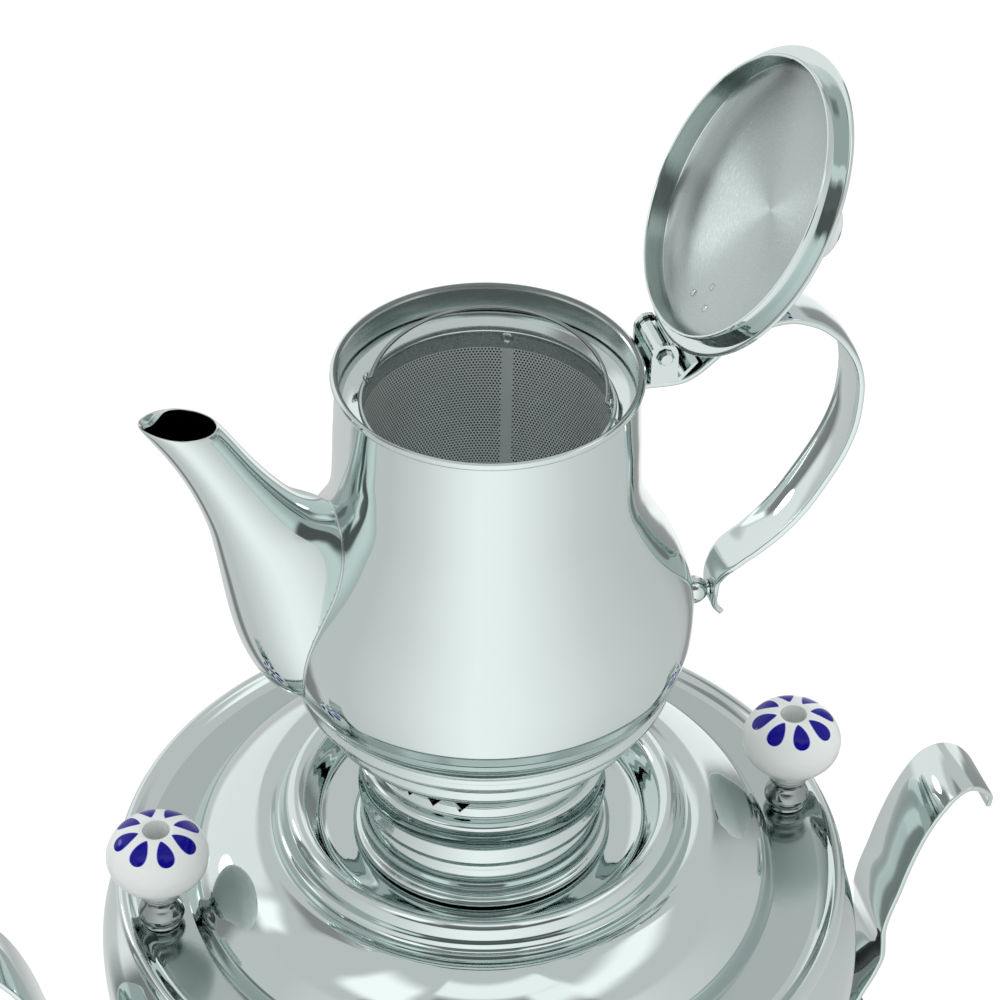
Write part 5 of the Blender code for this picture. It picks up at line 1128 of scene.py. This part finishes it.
spun_steel = brushed("spun_steel", (0.42, 0.48, 0.47), 0.000002)
pot_lid = spun("pot_lid", flowing([
    (0.0, 9.9), (7.0, 9.8), (14.0, 9.5), (20.6, 8.98), (27.0, 8.16), (31.8, 7.24), (36.0, 6.07), (38.4, 5.02),
    (40.0, 3.98), (40.9, 2.9), (41.4, 1.72), (41.7, 1.2), (41.7, 1.2), (44.7, 1.2), (45.2, 1.0), (45.3, 0.6),
    (45.2, 0.2), (44.7, 0.0), (41.3, 0.0), (41.3, 0.0), (41.3, -4.3), (41.1, -4.5), (40.6, -4.5), (40.4, -4.3),
    (40.4, 0.2), (40.5, 1.7), (40.1, 2.5), (39.3, 3.4), (37.8, 4.35), (35.7, 5.25), (31.5, 6.38),
    (26.8, 7.28), (20.4, 8.08), (13.9, 8.6), (7.0, 8.9), (0.0, 9.0), (0.0, 9.0), (0.0, 9.9)], 0.8),
    192, 446.8)
layered(pot_lid, mirror_steel, spun_steel)
mapped_round(pot_lid)
for face in pot_lid.data.polygons:
    if face.normal.z < -0.3 and math.hypot(face.center.x, face.center.y) < 0.0404 and face.center.z > 0.4475:
        face.material_index = 1
hinge_axis = Vector((0.0494, 0.0, 0.4478))
open_lid = (Matrix.Translation(hinge_axis) @ Matrix.Rotation(math.radians(120.4), 4, "Y")
            @ Matrix.Translation(-hinge_axis))
moved(pot_lid, open_lid)
seated(pot_lid, "teapot_lid", mirror_steel, "brushed_steel", "teapot_lid")
for spot_number, (along, across, level, slope) in enumerate((
        (33.0, -4.5, 452.74, 15), (33.5, 4.5, 452.60, 15), (28.0, 0.0, 453.90, 11)), start=1):
    spot_weld = spun("lid_spot_%d" % spot_number, [
        (0.0, 0.0), (0.8, -0.02), (1.0, -0.12), (1.2, -0.02), (1.3, 0.3), (0.0, 0.3), (0.0, 0.0)], 32)
    moved(spot_weld, open_lid @ Matrix.Translation((along / 1000, across / 1000, level / 1000))
          @ Matrix.Rotation(math.radians(slope), 4, "Y"))
    seated(spot_weld, "teapot_lid", satin_steel, "brushed_steel")
top_of_lid = open_lid @ Matrix.Translation((0.0, 0.0, 0.4570))
pot_knob_size, lever_knob_size = 0.70, 0.605
pot_knob = spun("pot_knob", [(max(across * pot_knob_size, 2.05), along * pot_knob_size)
                             for across, along in knob_outline], 96, 2.3)
charted(pot_knob, 0.0121)
small_petals = painted(*glazed("small_petal_porcelain"), 0.0110)
moved(pot_knob, top_of_lid)
seated(pot_knob, "teapot_lid", small_petals, "porcelain", "teapot_lid_knob")
pot_ferrule = spun("pot_ferrule", flowing([
    (2.05, 2.0), (2.05, 2.0), (4.6, 2.0), (5.0, 1.7), (5.1, 1.0), (5.0, 0.3), (4.8, 0.0), (4.8, 0.0),
    (2.05, 0.0), (2.05, 0.0), (2.05, 2.0)], 0.4), 96)
moved(pot_ferrule, top_of_lid)
seated(pot_ferrule, "teapot_lid", mirror_steel, "polished_steel", "teapot_lid_ferrule")
finished(plated_brass, "teapot_lid_screw")

# The tap lever's knob has the same form, smaller and unpainted.
lever_knob = spun("lever_knob", [(max(across * lever_knob_size, 2.65), along * lever_knob_size)
                                 for across, along in knob_outline], 64)
moved(lever_knob, Matrix.Translation((lever_tip, tap_out, 0.15947)))
plain_porcelain, _ = glazed("plain_porcelain")
seated(lever_knob, "tap_key", plain_porcelain, "porcelain", "tap_lever_knob")

# Infuser: a deep basket of perforated sheet, rolled and spot-welded up one side, with a plain band and a
# pressed rim that hangs on the ledge. Its wire bail swings in two eyelets soldered inside the band.
# The perforated sheet's holes are painted near-black: painted shade for the dark inside of the basket seen
# through them.
sheet_with_shaded_holes, shaded_holes_shader = plain_finish("perforated_sheet_painted_shade_holes", (0.80, 0.87, 0.86), 0.34, 0.62)
tree, wires = sheet_with_shaded_holes.node_tree.nodes, sheet_with_shaded_holes.node_tree.links
where = tree.new("ShaderNodeUVMap")
where.uv_map = "round_and_out"
split = tree.new("ShaderNodeSeparateXYZ")
wires.new(where.outputs[0], split.inputs[0])
steps_of = math_in(sheet_with_shaded_holes.node_tree)
hole_columns, row_pitch = 220, 0.00096
row = steps_of("DIVIDE", split.outputs["Y"], row_pitch)
row_parity = steps_of("MULTIPLY", steps_of("MODULO", steps_of("FLOOR", row), 2.0), 0.5)
column = steps_of("ADD", steps_of("MULTIPLY", split.outputs["X"], hole_columns / math.tau), row_parity)
up_off = steps_of("SUBTRACT", steps_of("FRACT", row), 0.5)
side_off = steps_of("SUBTRACT", steps_of("FRACT", column), 0.5)
far = steps_of("SQRT", steps_of("ADD", steps_of("MULTIPLY", up_off, up_off),
                                steps_of("MULTIPLY", steps_of("MULTIPLY", side_off, side_off), 1.35)))
# The holes are not cut: where this mask is low the sheet is painted near-black, as painted shade.
solid = ramp_in(sheet_with_shaded_holes.node_tree, far, from_min=0.32, from_max=0.38)
wires.new(mixed_in(sheet_with_shaded_holes.node_tree, solid.outputs[0], (0.012, 0.014, 0.013), (0.86, 0.92, 0.91)),
          shaded_holes_shader.inputs["Base Color"])
plain_sheet = grained(*plain_finish("basket_band", (0.60, 0.67, 0.66), 0.28, 0.92), 1500.0, 0.2, 0.32, 0.000002)
seam_sheet = grained(*plain_finish("basket_seam", (0.72, 0.79, 0.78), 0.3, 0.55), 1500.0, 0.25, 0.36, 0.000002)

basket = spun("basket_shell", flowing([
    (36.2, 59.6), (36.2, 59.6), (35.9, 52.6), (35.6, 44.0), (34.61, 4.83), (34.1, 2.2), (32.8, 0.77),
    (30.8, 0.1), (29.0, 0.0), (29.0, 0.0), (0.0, 0.0), (0.0, 0.0), (0.0, 0.5), (0.0, 0.5), (30.8, 0.6),
    (32.5, 1.4), (33.5, 2.9), (34.1, 5.0), (35.1, 44.0), (35.4, 52.6), (35.6, 59.6), (35.6, 59.6),
    (36.2, 59.6)], 1.1),
    192, 376.8)
mapped_round(basket)
layered(basket, plain_sheet, sheet_with_shaded_holes, seam_sheet)
seam_bearing, holes_from, holes_to = 65, 0.3778, 0.4294
for face in basket.data.polygons:
    bearing_now = math.degrees(math.atan2(face.center.y, face.center.x))
    if holes_from < face.center.z < holes_to:
        face.material_index = 1 if abs(bearing_now - seam_bearing) > 2.5 else 2
    elif face.center.z <= holes_from and math.hypot(face.center.x, face.center.y) < 0.031:
        face.material_index = 1
seated(basket, "infuser", plain_sheet, "brushed_steel", "infuser_basket")
basket_rim = spun("basket_rim", flowing([
    (41.9, 0.8), (41.9, 0.8), (40.7, 0.8), (39.5, 0.5), (37.6, -0.25), (36.3, -0.8), (35.55, -1.45),
    (35.3, -2.6), (35.3, -2.6), (35.8, -2.6), (35.8, -2.6), (36.0, -1.75), (36.7, -1.25), (37.8, -0.8),
    (39.3, -0.15), (40.2, 0.0), (40.2, 0.0), (41.9, 0.0), (41.9, 0.0), (41.9, 0.8)], 0.5), 192, 436.7)
seated(basket_rim, "infuser", mirror_steel, "polished_steel", "infuser_rim")
seam_rivet = spun("seam_rivet", [(0.0, 0.25), (0.9, 0.15), (1.2, 0.5), (1.6, 0.55), (1.9, 0.1), (1.9, -0.4),
                                 (0.0, -0.4), (0.0, 0.25)], 48)
softened(seam_rivet, 0.12)
moved(seam_rivet, Matrix.Rotation(math.radians(seam_bearing), 4, "Z")
      @ Matrix.Translation((0.03545, 0.0, 0.4330)) @ Matrix.Rotation(-math.pi / 2, 4, "Y"))
seated(seam_rivet, "infuser", satin_steel, "brushed_steel")

bail_place = Matrix.Translation((0.0, 0.0, 0.4392)) @ Matrix.Rotation(math.radians(-25.4), 4, "Z")
for side, across in (("left", -0.0350), ("right", 0.0350)):
    bpy.ops.object.select_all(action="DESELECT")
    bpy.ops.mesh.primitive_torus_add(major_radius=0.0012, minor_radius=0.0004, major_segments=32,
                                     minor_segments=10, location=(across, 0.0, 0.0), rotation=along_x)
    eyelet = bpy.context.object
    eyelet.name = eyelet.data.name = "bail_eyelet_" + side
    bpy.ops.object.transform_apply(location=True, rotation=True, scale=True)
    lug = spun("eyelet_lug", [(0.0, -1.2), (0.5, -1.2), (0.6, -2.7), (0.0, -2.7), (0.0, -1.2)], 16)
    picked(eyelet, moved(lug, Matrix.Translation((across, 0.0, 0.0))))
    bpy.ops.object.join()
    smoothed(eyelet, 35)
    moved(eyelet, bail_place)
    seated(eyelet, "infuser", mirror_steel, "polished_steel")
arch = 0.0338
# Handles of this share of the radius bend a curve to a quarter of a circle.
quarter = arch * 0.5523
bail = tube("bail_wire", (
    ((-0.0358, 0.0, 0.0), (-0.0360, 0.0, 0.0), (-0.0346, 0.0, 0.0)),
    ((-0.0336, 0.0010, 0.0), (-0.0336, 0.0002, 0.0), (-0.0336, 0.0010 + quarter * 0.95, 0.0)),
    ((0.0, arch, 0.0), (-quarter, arch, 0.0), (quarter, arch, 0.0)),
    ((0.0336, 0.0010, 0.0), (0.0336, 0.0010 + quarter * 0.95, 0.0), (0.0336, 0.0002, 0.0)),
    ((0.0358, 0.0, 0.0), (0.0346, 0.0, 0.0), (0.0360, 0.0, 0.0))), 0.0006, 40, 5)
moved(bail, bail_place @ Matrix.Rotation(math.radians(10), 4, "X"))
# The bail wire takes the darkened polish: a painted dark reflection.
seated(bail, "infuser_bail", darkened_polish, "polished_steel", "infuser_bail")
